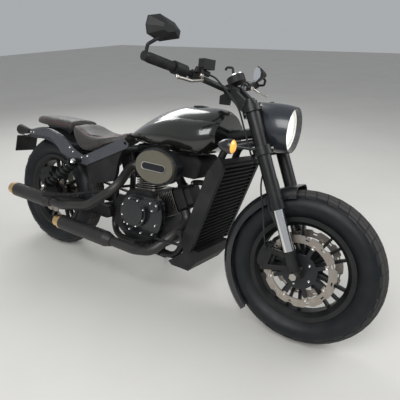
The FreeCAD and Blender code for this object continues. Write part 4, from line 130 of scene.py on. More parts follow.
def math_node(tree, kind, *values):
    """Output of a math node, whose values are numbers or other nodes' outputs."""
    node = tree.nodes.new("ShaderNodeMath")
    node.operation = kind
    for socket, value in zip(node.inputs, values):
        if isinstance(value, float):
            socket.default_value = value
        else:
            tree.links.new(value, socket)
    return node.outputs[0]


def step_mask(tree, socket, edge, blend, rising):
    """A mask that turns on, or off, where a value passes an edge."""
    mask = tree.nodes.new("ShaderNodeMapRange")
    mask.inputs["From Min"].default_value = edge - blend
    mask.inputs["From Max"].default_value = edge + blend
    mask.inputs["To Min"].default_value = 0 if rising else 1
    mask.inputs["To Max"].default_value = 1 if rising else 0
    tree.links.new(socket, mask.inputs["Value"])
    return mask.outputs["Result"]


def surface_group():
    """Fine grain for bump and a slow mottling for colour and roughness."""
    tree, start, end = group(
        "Surface detail",
        [("Grain size", "Float"), ("Patch size", "Float"), ("Base", "Color"), ("Dust and sheen", "Color"),
         ("Dust and sheen amount", "Float"), ("Roughness", "Float"), ("Spread", "Float")],
        [("Color", "Color"), ("Roughness", "Float"), ("Height", "Float")])
    link = tree.links.new
    place = tree.nodes.new("ShaderNodeTexCoord")

    def noise(size_socket, detail):
        node = tree.nodes.new("ShaderNodeTexNoise")
        node.inputs["Detail"].default_value = detail
        link(math_node(tree, "DIVIDE", 1.0, start.outputs[size_socket]), node.inputs["Scale"])
        link(place.outputs["Object"], node.inputs["Vector"])
        return node

    grain = noise("Grain size", 3)
    patch = noise("Patch size", 5)
    # Patches of the second colour: dust on most finishes, a painted sheen on the tank
    on = step_mask(tree, patch.outputs["Fac"], 0.585, 0.165, True)
    mix = tree.nodes.new("ShaderNodeMix")
    mix.data_type = "RGBA"
    link(math_node(tree, "MULTIPLY", on, start.outputs["Dust and sheen amount"]), mix.inputs["Factor"])
    link(start.outputs["Base"], mix.inputs["A"])
    link(start.outputs["Dust and sheen"], mix.inputs["B"])
    link(mix.outputs["Result"], end.inputs["Color"])
    link(math_node(tree, "MULTIPLY_ADD", on, start.outputs["Spread"], start.outputs["Roughness"]),
         end.inputs["Roughness"])
    link(grain.outputs["Fac"], end.inputs["Height"])
    return tree


def finish(name, base, roughness, metallic=0.0, grain=0.002, depth=0.0002, bump=0.2, patch=0.08,
           dust_and_sheen=(0.3, 0.28, 0.25), amount=0.06, spread=0.1, coat=0.0, sheen=0.0, gloss=0.5):
    """A finish of the bike: colour, gloss, grain and a little dust; on the tank the mottled patches are a
    painted sheen instead.
    """
    material = bpy.data.materials.new(name)
    material.use_nodes = True
    tree = material.node_tree
    shader = tree.nodes["Principled BSDF"]
    shader.inputs["Metallic"].default_value = metallic
    shader.inputs["Specular IOR Level"].default_value = gloss
    shader.inputs["Coat Weight"].default_value = coat
    shader.inputs["Coat Roughness"].default_value = 0.08
    shader.inputs["Sheen Weight"].default_value = sheen
    detail = tree.nodes.new("ShaderNodeGroup")
    detail.node_tree = bpy.data.node_groups["Surface detail"]
    for label, value in (("Grain size", grain), ("Patch size", patch), ("Base", (*base, 1)),
                         ("Dust and sheen", (*dust_and_sheen, 1)), ("Dust and sheen amount", amount), ("Roughness", roughness),
                         ("Spread", spread)):
        detail.inputs[label].default_value = value
    relief = tree.nodes.new("ShaderNodeBump")
    relief.inputs["Strength"].default_value = bump
    relief.inputs["Distance"].default_value = depth
    tree.links.new(detail.outputs["Color"], shader.inputs["Base Color"])
    tree.links.new(detail.outputs["Roughness"], shader.inputs["Roughness"])
    tree.links.new(detail.outputs["Height"], relief.inputs["Height"])
    tree.links.new(relief.outputs["Normal"], shader.inputs["Normal"])
    return material


def lit(material, colour, strength):
    """Let a finish give off a little light of its own: a lamp's glow, or a painted glow on a lens."""
    shader = material.node_tree.nodes["Principled BSDF"]
    shader.inputs["Emission Color"].default_value = (*colour, 1)
    shader.inputs["Emission Strength"].default_value = strength


def dress(material, *nodes):
    """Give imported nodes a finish."""
    for node in nodes:
        obj = frame["nodes"][node]
        for slot in obj.material_slots:
            slot.material = material
        if not obj.material_slots:
            obj.data.materials.append(material)


def as_object(name, mesh):
    """A bmesh as an object of the scene."""
    data = bpy.data.meshes.new(name)
    mesh.to_mesh(data)
    mesh.free()
    obj = bpy.data.objects.new(name, data)
    bpy.context.scene.collection.objects.link(obj)
    return obj


# The photograph's camera, fitted to both tyres: its place from the rear tyre's foot in metres, its
# heading, pitch and roll in degrees, and its focal length and the photograph's width in pixels
CAMERA_PLACE = (1.913, -1.266, 1.251)
CAMERA_TURN = (34.25, 25.07, -1.05)
FOCAL_PIXELS = 392.8
PHOTO_PIXELS = 400
# The sensor's width in millimetres, half the floor's width in metres, and the sky's light
SENSOR = 36
FLOOR_HALF = 14
SKY = (0.80, 0.83, 0.86, 1)
SKY_STRENGTH = 0.50
# Lamps: name, place, what each points at, size and power, metres and watts
LAMPS = (
    ("key", (1.6, -2.6, 3.2), (0.6, 0, 0.5), 2.4, 120),
    ("fill", (3.4, 1.4, 2.4), (0.8, 0, 0.5), 2.0, 45),
    ("rim", (-1.6, 1.8, 2.6), (0.4, 0, 0.5), 1.8, 50),
)


class MOTORCYCLE_OT_stage(bpy.types.Operator):
    """Floor, lamps and the photograph's camera"""
    bl_idname = "motorcycle.stage"
    bl_label = "Stage"

    def execute(self, context):
        scene = context.scene
        scene.view_settings.view_transform = "Standard"
        mesh = bmesh.new()
        bmesh.ops.create_grid(mesh, x_segments=1, y_segments=1, size=FLOOR_HALF)
        floor = as_object("floor", mesh)
        ground = finish("floor_finish", scene.motorcycle_colours.floor, 0.75, grain=0.004, depth=0.0004,
                        patch=0.6, dust_and_sheen=(0.52, 0.51, 0.48), amount=0.35, spread=0.05)
        floor.data.materials.append(ground)
        world = bpy.data.worlds.new("soft_sky")
        scene.world = world
        world.use_nodes = True
        world.node_tree.nodes["Background"].inputs["Color"].default_value = SKY
        world.node_tree.nodes["Background"].inputs["Strength"].default_value = SKY_STRENGTH
        foot = BIKE @ Vector((0, 0, 0))
        foot.z = 0
        for name, place, aim, size, power in LAMPS:
            lamp = bpy.data.lights.new(name, "AREA")
            lamp.size = size
            lamp.energy = power
            obj = bpy.data.objects.new(name, lamp)
            obj.location = Vector(place) + foot
            obj.rotation_euler = (Vector(aim) - Vector(place)).to_track_quat("-Z", "Y").to_euler()
            scene.collection.objects.link(obj)
        heading, pitch, roll = (math.radians(angle) for angle in CAMERA_TURN)
        camera = bpy.data.objects.new("camera", bpy.data.cameras.new("camera"))
        camera.data.sensor_width = SENSOR
        camera.data.lens = SENSOR * FOCAL_PIXELS / PHOTO_PIXELS
        camera.matrix_world = (Matrix.Translation(Vector(CAMERA_PLACE) + foot)
                               @ Matrix.Rotation(heading, 4, "Z")
                               @ Matrix.Rotation(math.pi / 2 - pitch, 4, "X")
                               @ Matrix.Rotation(roll, 4, "Z"))
        scene.collection.objects.link(camera)
        scene.camera = camera
        return {"FINISHED"}


def overlaid(material, mask, colour, roughness, metallic=1.0):
    """Another finish over a material wherever a mask is on."""
    tree = material.node_tree
    shader = tree.nodes["Principled BSDF"]
    for socket, kind, value in (("Base Color", "RGBA", (*colour, 1)), ("Roughness", "FLOAT", roughness),
                                ("Metallic", "FLOAT", metallic)):
        mix = tree.nodes.new("ShaderNodeMix")
        mix.data_type = kind
        below = shader.inputs[socket]
        if below.is_linked:
            tree.links.new(below.links[0].from_socket, mix.inputs["A"])
        else:
            mix.inputs["A"].default_value = below.default_value
        mix.inputs["B"].default_value = value
        tree.links.new(mask, mix.inputs["Factor"])
        tree.links.new(mix.outputs["Result"], below)


def tipped(material, edge, tip):
    """Brass over a pipe's end: everything behind a station along the bike."""
    tree = material.node_tree
    place = tree.nodes.new("ShaderNodeTexCoord")
    split = tree.nodes.new("ShaderNodeSeparateXYZ")
    tree.links.new(place.outputs["Object"], split.inputs["Vector"])
    overlaid(material, step_mask(tree, split.outputs["X"], edge, 0.0006, False), tip, 0.30)


def local_place(tree, frame_matrix):
    """Socket of a surface point's place in a frame of its own."""
    local = frame_matrix.inverted()
    place = tree.nodes.new("ShaderNodeTexCoord")
    mapping = tree.nodes.new("ShaderNodeMapping")
    mapping.inputs["Location"].default_value = local.translation
    mapping.inputs["Rotation"].default_value = local.to_euler()
    tree.links.new(place.outputs["Object"], mapping.inputs["Vector"])
    return mapping.outputs["Vector"]


def from_axle(tree, wheel):
    """Socket of the distance from a wheel's axle."""
    flat = tree.nodes.new("ShaderNodeVectorMath")
    flat.operation = "MULTIPLY"
    flat.inputs[1].default_value = (1, 0, 1)
    length = tree.nodes.new("ShaderNodeVectorMath")
    length.operation = "LENGTH"
    tree.links.new(local_place(tree, wheel), flat.inputs[0])
    tree.links.new(flat.outputs["Vector"], length.inputs[0])
    return length.outputs["Value"]


# Cylinders: crankshaft, each one's tilt, and the fins' half sizes and corners, metres
CRANK = (0.700, 0, 0.372)
CYLINDER_TILTS = {"front_cylinder": math.radians(62), "rear_cylinder": math.radians(-6)}
FIN_HALF = (0.062, 0.058)
FIN_CORNER = 0.018
FIN_RIM = 0.978


def fin_rims(material, cylinder):
    """Machined metal on the outer rims of a cylinder's fins."""
    tree = material.node_tree
    upright = Matrix.Translation(CRANK) @ Matrix.Rotation(CYLINDER_TILTS[cylinder], 4, "Y")
    split = tree.nodes.new("ShaderNodeSeparateXYZ")
    tree.links.new(local_place(tree, BIKE @ upright), split.inputs["Vector"])
    across = [math_node(tree, "ABSOLUTE", split.outputs[axis]) for axis in ("X", "Y")]
    diagonal = sum(FIN_HALF) - FIN_CORNER * (2 - math.sqrt(2))
    shares = [math_node(tree, "DIVIDE", side, half) for side, half in zip(across, FIN_HALF)]
    corner = math_node(tree, "DIVIDE", math_node(tree, "ADD", *across), diagonal)
    furthest = math_node(tree, "MAXIMUM", math_node(tree, "MAXIMUM", *shares), corner)
    overlaid(material, step_mask(tree, furthest, FIN_RIM, 0.004, True), (0.55, 0.53, 0.49), 0.32)


LENS = dict(coat=0.7, grain=0.0018, depth=0.0003, bump=0.3, amount=0.0)
# Finishes by name: colour, roughness, and what else each takes
FINISHES = {
    "tyre_rubber": ((0.011, 0.011, 0.012), 0.72, dict(
        grain=0.0015, amount=0.22, dust_and_sheen=(0.10, 0.095, 0.09), patch=0.05, gloss=0.3)),
    "satin_black": ((0.006, 0.0065, 0.007), 0.36, dict(
        grain=0.0008, depth=0.00005, amount=0.03, gloss=0.35)),
    "textured_black": ((0.007, 0.007, 0.008), 0.55, dict(
        grain=0.0007, bump=0.35, amount=0.04, gloss=0.35)),
    "gloss_black": ((0.008, 0.009, 0.011), 0.26, dict(
        coat=0.5, grain=0.0008, depth=0.00002, amount=0.03)),
    "engine_black": ((0.009, 0.009, 0.010), 0.42, dict(
        grain=0.0012, depth=0.0001, amount=0.10, dust_and_sheen=(0.10, 0.09, 0.08))),
    # The cowl's black is tinted blue: a painted reflection of the sky
    "cowl_black_painted_sky_tint": ((0.016, 0.020, 0.026), 0.30, dict(
        coat=0.4, grain=0.0008, depth=0.00002, amount=0.03)),
    "brushed_steel": ((0.50, 0.47, 0.43), 0.3, dict(metallic=1.0, grain=0.0008, depth=0.00005)),
    "chain_steel": ((0.24, 0.22, 0.20), 0.42, dict(
        metallic=1.0, grain=0.0010, depth=0.00008, amount=0.4, dust_and_sheen=(0.05, 0.045, 0.04), patch=0.01)),
    "screw_steel": ((0.62, 0.61, 0.58), 0.28, dict(metallic=1.0, grain=0.0006, depth=0.00003)),
    "chrome": ((0.78, 0.79, 0.80), 0.12, dict(metallic=1.0, depth=0.00001)),
    "reflector": ((0.92, 0.92, 0.90), 0.10, dict(metallic=1.0, depth=0.00001, amount=0.0)),
    "lamp_glow": ((0.95, 0.93, 0.86), 0.35, dict(depth=0.00001)),
    "thread": ((0.30, 0.27, 0.23), 0.6, dict(grain=0.0004, depth=0.0001)),
    "red_thread": ((0.34, 0.10, 0.08), 0.6, dict(grain=0.0004, depth=0.0001)),
    "dial_face": ((0.020, 0.022, 0.025), 0.35, dict(grain=0.0006, depth=0.00003)),
    "lens_glass": ((0.93, 0.93, 0.90), 0.06, dict(coat=0.8, depth=0.00001, amount=0.0)),
    "mirror_glass": ((0.82, 0.85, 0.88), 0.04, dict(metallic=1.0, depth=0.000005, amount=0.0)),
    "amber_lens": ((0.90, 0.38, 0.06), 0.18, LENS),
    "red_lens": ((0.42, 0.012, 0.010), 0.18, LENS),
    "olive_metal": ((0.165, 0.152, 0.118), 0.40, dict(
        metallic=0.55, grain=0.0006, depth=0.00006, amount=0.2, dust_and_sheen=(0.22, 0.20, 0.16), patch=0.05)),
    "slate_paint": ((0.062, 0.066, 0.078), 0.40, dict(metallic=0.2, grain=0.0008, depth=0.00004)),
}
# Finishes that give off light: colour and strength. The bulb glows as a lamp; the glow of the headlight
# lens and of the amber indicator lenses is painted light
LAMP_AND_PAINTED_GLOWS = {
    "lamp_glow": ((1.0, 0.94, 0.80), 1.5),
    "lens_glass": ((1.0, 0.98, 0.93), 0.45),
    "amber_lens": ((1.0, 0.50, 0.10), 0.55),
}
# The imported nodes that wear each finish
DRESSED = {
    "tyre_rubber": ("grips", "brake_hoses", "passenger_pegs"),
    "satin_black": ("front_wheel", "rear_wheel", "fork_outer_tubes", "fork_feet", "fork_clamps",
                    "handlebar", "frame", "swing_arm", "side_stand", "shock_left", "shock_right",
                    "front_calipers", "rear_caliper", "tank_cap", "foot_controls"),
    "textured_black": ("radiator", "radiator_covers", "belly_pan", "side_panels", "bar_controls",
                       "gauge", "mirrors", "plate_bracket", "rear_indicators", "intake"),
    "gloss_black": ("front_fender", "rear_fender", "air_cleaner_body", "clutch_cover",
                    "stator_cover", "front_indicators"),
    "engine_black": ("crankcase",),
    "cowl_black_painted_sky_tint": ("headlight_cowl",),
    "brushed_steel": ("rear_sprocket", "front_axle", "rear_axle", "levers"),
    "chain_steel": ("drive_chain",),
    "chrome": ("fork_inner_tubes",),
    "lens_glass": ("headlight_lens",),
    "mirror_glass": ("mirror_glass",),
    "amber_lens": ("front_indicator_lenses", "rear_indicator_lenses"),
    "red_lens": ("tail_lamp",),
    "olive_metal": ("air_cleaner_face",),
    "slate_paint": ("side_plates",),
}
# Radii where the worn tread begins and the front discs' carriers end, and the stations along the
# bike where the mufflers' brass tips begin, metres
WORN_EDGE = 0.3005
CARRIER_EDGE = 0.1075
TIP_EDGES = {"exhaust_upper": -0.108, "exhaust_lower": 0.288}


class MOTORCYCLE_OT_finishes(bpy.types.Operator):
    """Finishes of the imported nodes"""
    bl_idname = "motorcycle.finishes"
    bl_label = "Finishes"

    def execute(self, context):
        # Held here, because the frame brings plain materials of its own by some of these names
        finishes = {name: finish(name, colour, roughness, **more)
                    for name, (colour, roughness, more) in FINISHES.items()}
        for name, (colour, strength) in LAMP_AND_PAINTED_GLOWS.items():
            lit(finishes[name], colour, strength)
        glass = finishes["lens_glass"].node_tree.nodes["Principled BSDF"]
        glass.inputs["Transmission Weight"].default_value = 0.35
        for name, nodes in DRESSED.items():
            dress(finishes[name], *nodes)
        self.chosen(context.scene)
        self.wheels()
        self.engine(context.scene.motorcycle_colours.brass)
        return {"FINISHED"}

    def chosen(self, scene):
        """The tank's paint and the seats' leather, in the user's colours."""
        colours = scene.motorcycle_colours
        # The tank's gold-green mottled patches are a painted sheen: painted reflections on the black paint
        paint = finish("tank_paint", colours.tank, 0.22, metallic=0.35, coat=1.0, grain=0.0006,
                       depth=0.00001, amount=0.25, dust_and_sheen=(0.030, 0.034, 0.018), patch=0.25)
        dress(paint, "fuel_tank")
        leather = finish("leather", colours.leather, 0.48, grain=scene.motorcycle_sizes.grain,
                         depth=0.0006, bump=0.5, sheen=0.12, amount=0.3, dust_and_sheen=(0.055, 0.048, 0.042),
                         patch=0.05)
        dress(leather, "rider_seat", "pillion_seat")

    def wheels(self):
        """Tyres with a worn tread and a painted teal sheen on their black, and brake discs, the front ones
        on black carriers.
        """
        for end, wheel, node in (("front", FRONT_WHEEL, "front_discs"), ("rear", REAR_WHEEL, "rear_disc")):
            # The tyres' black carries a painted teal tint: a painted sheen of the sky on the rubber
            tyre = finish(end + "_rubber", (0.005, 0.007, 0.009), 0.46, grain=0.0015, amount=0.10,
                          dust_and_sheen=(0.05, 0.050, 0.050), patch=0.05, gloss=0.3)
            tree = tyre.node_tree
            worn = step_mask(tree, from_axle(tree, wheel), WORN_EDGE, 0.004, True)
            overlaid(tyre, worn, (0.042, 0.041, 0.040), 0.85, 0.0)
            dress(tyre, end + "_tyre")
            disc = finish(end + "_disc_steel", (0.42, 0.38, 0.34), 0.34, metallic=1.0, grain=0.0010,
                          depth=0.00008, amount=0.35, dust_and_sheen=(0.22, 0.17, 0.13), patch=0.03)
            dress(disc, node)
            if end == "front":
                tree = disc.node_tree
                carrier = step_mask(tree, from_axle(tree, wheel), CARRIER_EDGE, 0.0004, False)
                overlaid(disc, carrier, (0.007, 0.008, 0.010), 0.4, 0.0)

    def engine(self, brass):
        """Cylinders with machined fin rims, and pipes with brass tips."""
        for cylinder in CYLINDER_TILTS:
            finned = finish(cylinder + "_black", (0.008, 0.008, 0.009), 0.45, grain=0.0012,
                            depth=0.0001, amount=0.05)
            fin_rims(finned, cylinder)
            dress(finned, cylinder)
        back = (BIKE @ Vector((0, 0, 0))).x
        for node, edge in TIP_EDGES.items():
            pipe = finish(node + "_black", (0.016, 0.015, 0.015), 0.42, grain=0.001, depth=0.00005,
                          amount=0.2, dust_and_sheen=(0.07, 0.06, 0.05))
            tipped(pipe, back + edge, brass)
            dress(pipe, node)


def made(name, mesh, place, body, material, sharp=35):
    """A bmesh as a finished piece: placed in its mesh, riding on its body."""
    mesh.transform(place)
    obj = as_object(name, mesh)
    obj.data.polygons.foreach_set("use_smooth", [True] * len(obj.data.polygons))
    obj.data.set_sharp_from_angle(angle=math.radians(sharp))
    obj.data.materials.append(bpy.data.materials[material])
    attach(obj, body)
    return obj


def turned(points, steps, axis=(0, 1, 0), loop=False):
    """A bmesh spun all round an axis from a line of points."""
    mesh = bmesh.new()
    corners = [mesh.verts.new(point) for point in points]
    pairs = list(zip(corners, corners[1:]))
    if loop:
        pairs.append((corners[-1], corners[0]))
    edges = [mesh.edges.new(pair) for pair in pairs]
    bmesh.ops.spin(mesh, geom=corners + edges, cent=(0, 0, 0), axis=axis, angle=math.tau, steps=steps,
                   use_merge=True)
    bmesh.ops.remove_doubles(mesh, verts=mesh.verts, dist=0.00001)
    bmesh.ops.recalc_face_normals(mesh, faces=mesh.faces)
    return mesh


def joined(mesh, piece, place):
    """Move one bmesh into another, at its place."""
    piece.transform(place)
    data = bpy.data.meshes.new("joined")
    piece.to_mesh(data)
    piece.free()
    mesh.from_mesh(data)
    bpy.data.meshes.remove(data)


def band(inside, outside, half, outer_half):
    """A bmesh ring about Z: its radii, and half its height inside and outside."""
    return turned([(inside, 0, -half), (outside, 0, -outer_half), (outside, 0, outer_half),
                   (inside, 0, half)], 28, axis=(0, 0, 1), loop=True)


def facing(place, direction):
    """Matrix that puts a piece made along Z at a point, along a direction."""
    return Matrix.Translation(place) @ Vector(direction).to_track_quat("Z", "Y").to_matrix().to_4x4()


def screws(name, places, radius, height, place, body, material):
    """Round socket screws at points, each (point, direction)."""
    mesh = bmesh.new()
    for spot, direction in places:
        cone = bmesh.ops.create_cone(
            mesh, cap_ends=True, segments=18, radius1=radius, radius2=radius * 0.92, depth=height,
            matrix=facing(spot, direction) @ Matrix.Translation((0, 0, height / 2)))
        top = max({face for vert in cone["verts"] for face in vert.link_faces},
                  key=lambda face: face.calc_center_median().dot(Vector(direction)))
        bmesh.ops.inset_region(mesh, faces=[top], thickness=radius * 0.45)
        bmesh.ops.translate(mesh, verts=top.verts, vec=Vector(direction).normalized() * -height * 0.5)
    return made(name, mesh, place, body, material)


# Tyre sections, metres: tread radius, section, rim width, bead seat radius
TYRES = {
    "front": (0.320, 0.130, 0.076, 0.203),
    "rear": (0.323, 0.150, 0.098, 0.203),
}
CROWN = 0.068
CROWN_ANGLE = math.radians(42)
TREAD = 0.0048
TREAD_STEPS = 44
# How far below the crest tread and shoulder blocks lie, the gaps between them and the shoulder's cut,
# metres, and the blocks' slant, radians per metre from the tyre's middle
TREAD_REACH = 0.019
SHOULDER_REACH = 0.034
TREAD_GAP = 0.0030
SHOULDER_GAP = 0.0024
SHOULDER_CUT = 0.0035
BLOCK_SLANT = 1.1


def tyre_section(radius, width, rim_width, seat):
    """Half outline of a tyre: crown with its tread cut away, wall, bead and inner wall."""
    bead = rim_width / 2 - 0.0003
    flange = seat + 0.0143
    edge_y = CROWN * math.sin(CROWN_ANGLE)
    edge_z = radius - CROWN * (1 - math.cos(CROWN_ANGLE))
    floor = CROWN - TREAD
    crown = [Vector((0, floor * math.sin(CROWN_ANGLE * share),
                     radius - CROWN + floor * math.cos(CROWN_ANGLE * share)))
             for share in (0, 0.28, 0.6, 1)]
    bulge = width / 2 - (edge_y + bead) / 2
    wall = []
    for step in range(1, 8):
        share = step / 8
        out = bulge * (1 - (share * 2 - 1) ** 2)
        wall.append(Vector((0, edge_y + (bead - edge_y) * share + out,
                            edge_z + (flange - edge_z) * share)))
    foot = [Vector((0, bead, flange)), Vector((0, bead, seat + 0.0003)),
            Vector((0, bead - 0.012, seat + 0.0003)), Vector((0, bead - 0.012, flange)),
            Vector((0, edge_y - 0.006, edge_z - 0.012)), Vector((0, 0, radius - 0.016))]
    return crown + wall + foot


class MOTORCYCLE_OT_tyres(bpy.types.Operator):
    """Tyres with raised tread and shoulder blocks"""
    bl_idname = "motorcycle.tyres"
    bl_label = "Tyres"

    def execute(self, context):
        for end, place in (("front", FRONT_WHEEL), ("rear", REAR_WHEEL)):
            half = tyre_section(*TYRES[end])
            other = [Vector((0, -point.y, point.z)) for point in half[-2:0:-1]]
            mesh = turned(half + other, TREAD_STEPS, loop=True)
            tread, shoulder = self.blocks(mesh, TYRES[end][0])
            for vert in mesh.verts:
                vert.co = Matrix.Rotation(abs(vert.co.y) * BLOCK_SLANT, 4, "Y") @ vert.co
            bmesh.ops.inset_individual(mesh, faces=tread, thickness=TREAD_GAP, depth=TREAD)
            every_other = [face for face in shoulder if self.step_of(face) % 2 == 0]
            bmesh.ops.inset_individual(mesh, faces=every_other, thickness=SHOULDER_GAP,
                                       depth=SHOULDER_CUT)
            tyre = made(end + "_tread", mesh, place, end + "_wheel", end + "_rubber", 30)
            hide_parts(end + "_tyre")
        return {"FINISHED"}

    def blocks(self, mesh, radius):
        """The outer faces of a tyre's tread, and those of its shoulders."""
        edge = CROWN * math.sin(CROWN_ANGLE) + 0.001
        tread, shoulder = [], []
        for face in mesh.faces:
            middle = face.calc_center_median()
            depth = radius - middle.xz.length
            if face.normal.dot(Vector((middle.x, 0, middle.z))) <= 0:
                continue
            if abs(middle.y) < edge and depth < TREAD_REACH:
                tread.append(face)
            elif abs(middle.y) > edge and depth < SHOULDER_REACH:
                shoulder.append(face)
        return tread, shoulder

    def step_of(self, face):
        """Number of the step round the tyre that a slanted face belongs to."""
        middle = face.calc_center_median()
        turn = math.atan2(middle.z, middle.x) - abs(middle.y) * BLOCK_SLANT
        return round(turn / math.tau * TREAD_STEPS)


# Seats: size of a skin's faces, how far it is drawn in and may swell, the seam's depth and half
# width, and how far down from it the tucks reach and how far apart they are, metres
SKIN_FACE = 0.005
SKIN_SHRINK = 0.0015
SWELL_CAP = 0.006
SEAM_DEPTH = 0.0022
SEAM_WIDTH = 0.0045
TUCK_REACH = 0.06
TUCK_PITCH = 0.028


def grown(node, name):
    """A copy of a soft node as one closed skin of small even faces, drawn in a little."""
    source = frame["nodes"][node]
    mesh = bmesh.new()
    mesh.from_mesh(source.data)
    bmesh.ops.remove_doubles(mesh, verts=mesh.verts, dist=0.00005)
    mesh.transform(source.matrix_world)
    obj = as_object(name, mesh)
    even = obj.modifiers.new("even", "REMESH")
    even.mode = "VOXEL"
    even.voxel_size = SKIN_FACE
    skin = bpy.data.meshes.new_from_object(obj.evaluated_get(
        bpy.context.evaluated_depsgraph_get()))
    obj.modifiers.clear()
    obj.data = skin
    skin.name = name
    for vert, normal in [(vert, vert.normal.copy()) for vert in skin.vertices]:
        vert.co -= normal * SKIN_SHRINK
    return obj


def swell(obj):
    """Fill a pad with air as cloth, and let each point move by the cap at most."""
    before = [vert.co.copy() for vert in obj.data.vertices]
    cloth = obj.modifiers.new("air", "CLOTH")
    cloth.settings.quality = 5
    cloth.settings.use_pressure = True
    cloth.settings.uniform_pressure_force = 4
    cloth.settings.effector_weights.gravity = 0
    for number in range(1, 21):
        bpy.context.scene.frame_set(number)
    filled = obj.evaluated_get(bpy.context.evaluated_depsgraph_get()).data
    after = [vert.co.copy() for vert in filled.vertices]
    obj.modifiers.remove(cloth)
    bpy.context.scene.frame_set(1)
    for vert, old, new in zip(obj.data.vertices, before, after):
        step = new - old
        if step.length > SWELL_CAP:
            step *= SWELL_CAP / step.length
        vert.co = old + step


# Where the saddle's top panel meets its sides: X from the rear axle, half width, height, metres
SADDLE_SEAM = ((0.200, 0.074, 0.738), (0.240, 0.098, 0.727), (0.320, 0.112, 0.700),
               (0.400, 0.106, 0.696), (0.480, 0.080, 0.710), (0.540, 0.044, 0.737))
PILLION_SEAM = ((-0.150, 0.056, 0.730), (-0.100, 0.084, 0.730), (0.060, 0.098, 0.730),
                (0.176, 0.092, 0.730))


def seam_line(points, steps):
    """Points along a seam on one side, evenly between its knots."""
    line = []
    for first, last in zip(points, points[1:]):
        for step in range(steps):
            line.append(Vector(first).lerp(Vector(last), step / steps))
    return line + [Vector(points[-1])]


class MOTORCYCLE_OT_seats(bpy.types.Operator):
    """Saddle and pillion pad: filled leather with seams, tucks and stitches"""
    bl_idname = "motorcycle.seats"
    bl_label = "Seats"

    def execute(self, context):
        upright = BIKE.inverted()
        for node, name, seam, tucks in (("rider_seat", "saddle", SADDLE_SEAM, 0.0030),
                                        ("pillion_seat", "pillion_pad", PILLION_SEAM, 0)):
            pad = grown(node, name)
            start = [vert.co.copy() for vert in pad.data.vertices]
            swell(pad)
            knots = seam_line(seam, 12)
            line = KDTree(len(knots))
            for number, knot in enumerate(knots):
                line.insert(knot, number)
            line.balance()
            for vert, old in zip(pad.data.vertices, start):
                spot = upright @ old
                up = (upright.to_3x3() @ vert.normal).z
                # The underside keeps the solid's shape
                free = min(max((up + 0.5) / 0.4, 0), 1)
                vert.co = old.lerp(vert.co, free)
                near = line.find((spot.x, abs(spot.y), spot.z))[2]
                groove = SEAM_DEPTH * math.exp(-(near / SEAM_WIDTH) ** 2)
                side = max(0, 1 - abs(up) * 1.6) * max(0, 1 - near / TUCK_REACH)
                fold = tucks * side * (0.5 + 0.5 * math.cos(spot.x * math.tau / TUCK_PITCH))
                vert.co -= vert.normal * (groove + fold) * free
            smooth = pad.modifiers.new("smooth", "SUBSURF")
            smooth.levels = 1
            smooth.render_levels = 1
            pad.data.polygons.foreach_set("use_smooth", [True] * len(pad.data.polygons))
            pad.data.materials.clear()
            pad.data.materials.append(bpy.data.materials["leather"])
            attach(pad, "chassis")
            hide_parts(node)
            self.stitch(pad, name, seam)
        return {"FINISHED"}

    def stitch(self, pad, name, seam):
        """Thread stitches that follow the pad's skin beside its seam."""
        thread = bmesh.new()
        for side in (-1, 1):
            for rise in (0.004, -0.004):
                spots = []
                for knot in seam_line(seam, 9):
                    wanted = BIKE @ Vector((knot.x, (knot.y - rise * 0.6) * side, knot.z + rise))
                    spots.append(pad.closest_point_on_mesh(wanted)[1:3])
                for (spot, normal), after in zip(spots, spots[1:]):
                    ahead = after[0] - spot
                    if ahead.length < 0.001:
                        continue
                    middle = spot + ahead * 0.5 + normal * 0.0004
                    size = Matrix.Diagonal((0.0006, 0.0006, ahead.length * 0.34, 1))
                    bmesh.ops.create_icosphere(
                        thread, subdivisions=1, radius=1, matrix=facing(middle, ahead) @ size)
        obj = made(name + "_stitches", thread, Matrix(), "chassis", "red_thread")


class MOTORCYCLE_OT_headlight(bpy.types.Operator):
    """Headlight bowl and bulb behind the lens"""
    bl_idname = "motorcycle.headlight"
    bl_label = "Headlight"

    def execute(self, context):
        low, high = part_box("headlight_lens")
        centre = (low + high) / 2
        along = FRONT_WHEEL.to_3x3() @ Vector((math.cos(RAKE), 0, -math.sin(RAKE)))
        place = facing(centre - along * 0.010, along)
        bowl = turned([(0.012, 0, -0.046), (0.030, 0, -0.042), (0.052, 0, -0.028),
                       (0.066, 0, -0.010), (0.069, 0, 0.0), (0.0705, 0, -0.002),
                       (0.066, 0, -0.014), (0.052, 0, -0.032), (0.030, 0, -0.046),
                       (0.012, 0, -0.050)], 64, axis=(0, 0, 1), loop=True)
        made("headlight_bowl", bowl, place, "steering", "reflector")
        shield = turned([(0, 0, -0.020), (0.010, 0, -0.021), (0.014, 0, -0.026), (0.014, 0, -0.045),
                         (0, 0, -0.045)], 32, axis=(0, 0, 1))
        made("headlight_bulb", shield, place, "steering", "lamp_glow")
        return {"FINISHED"}


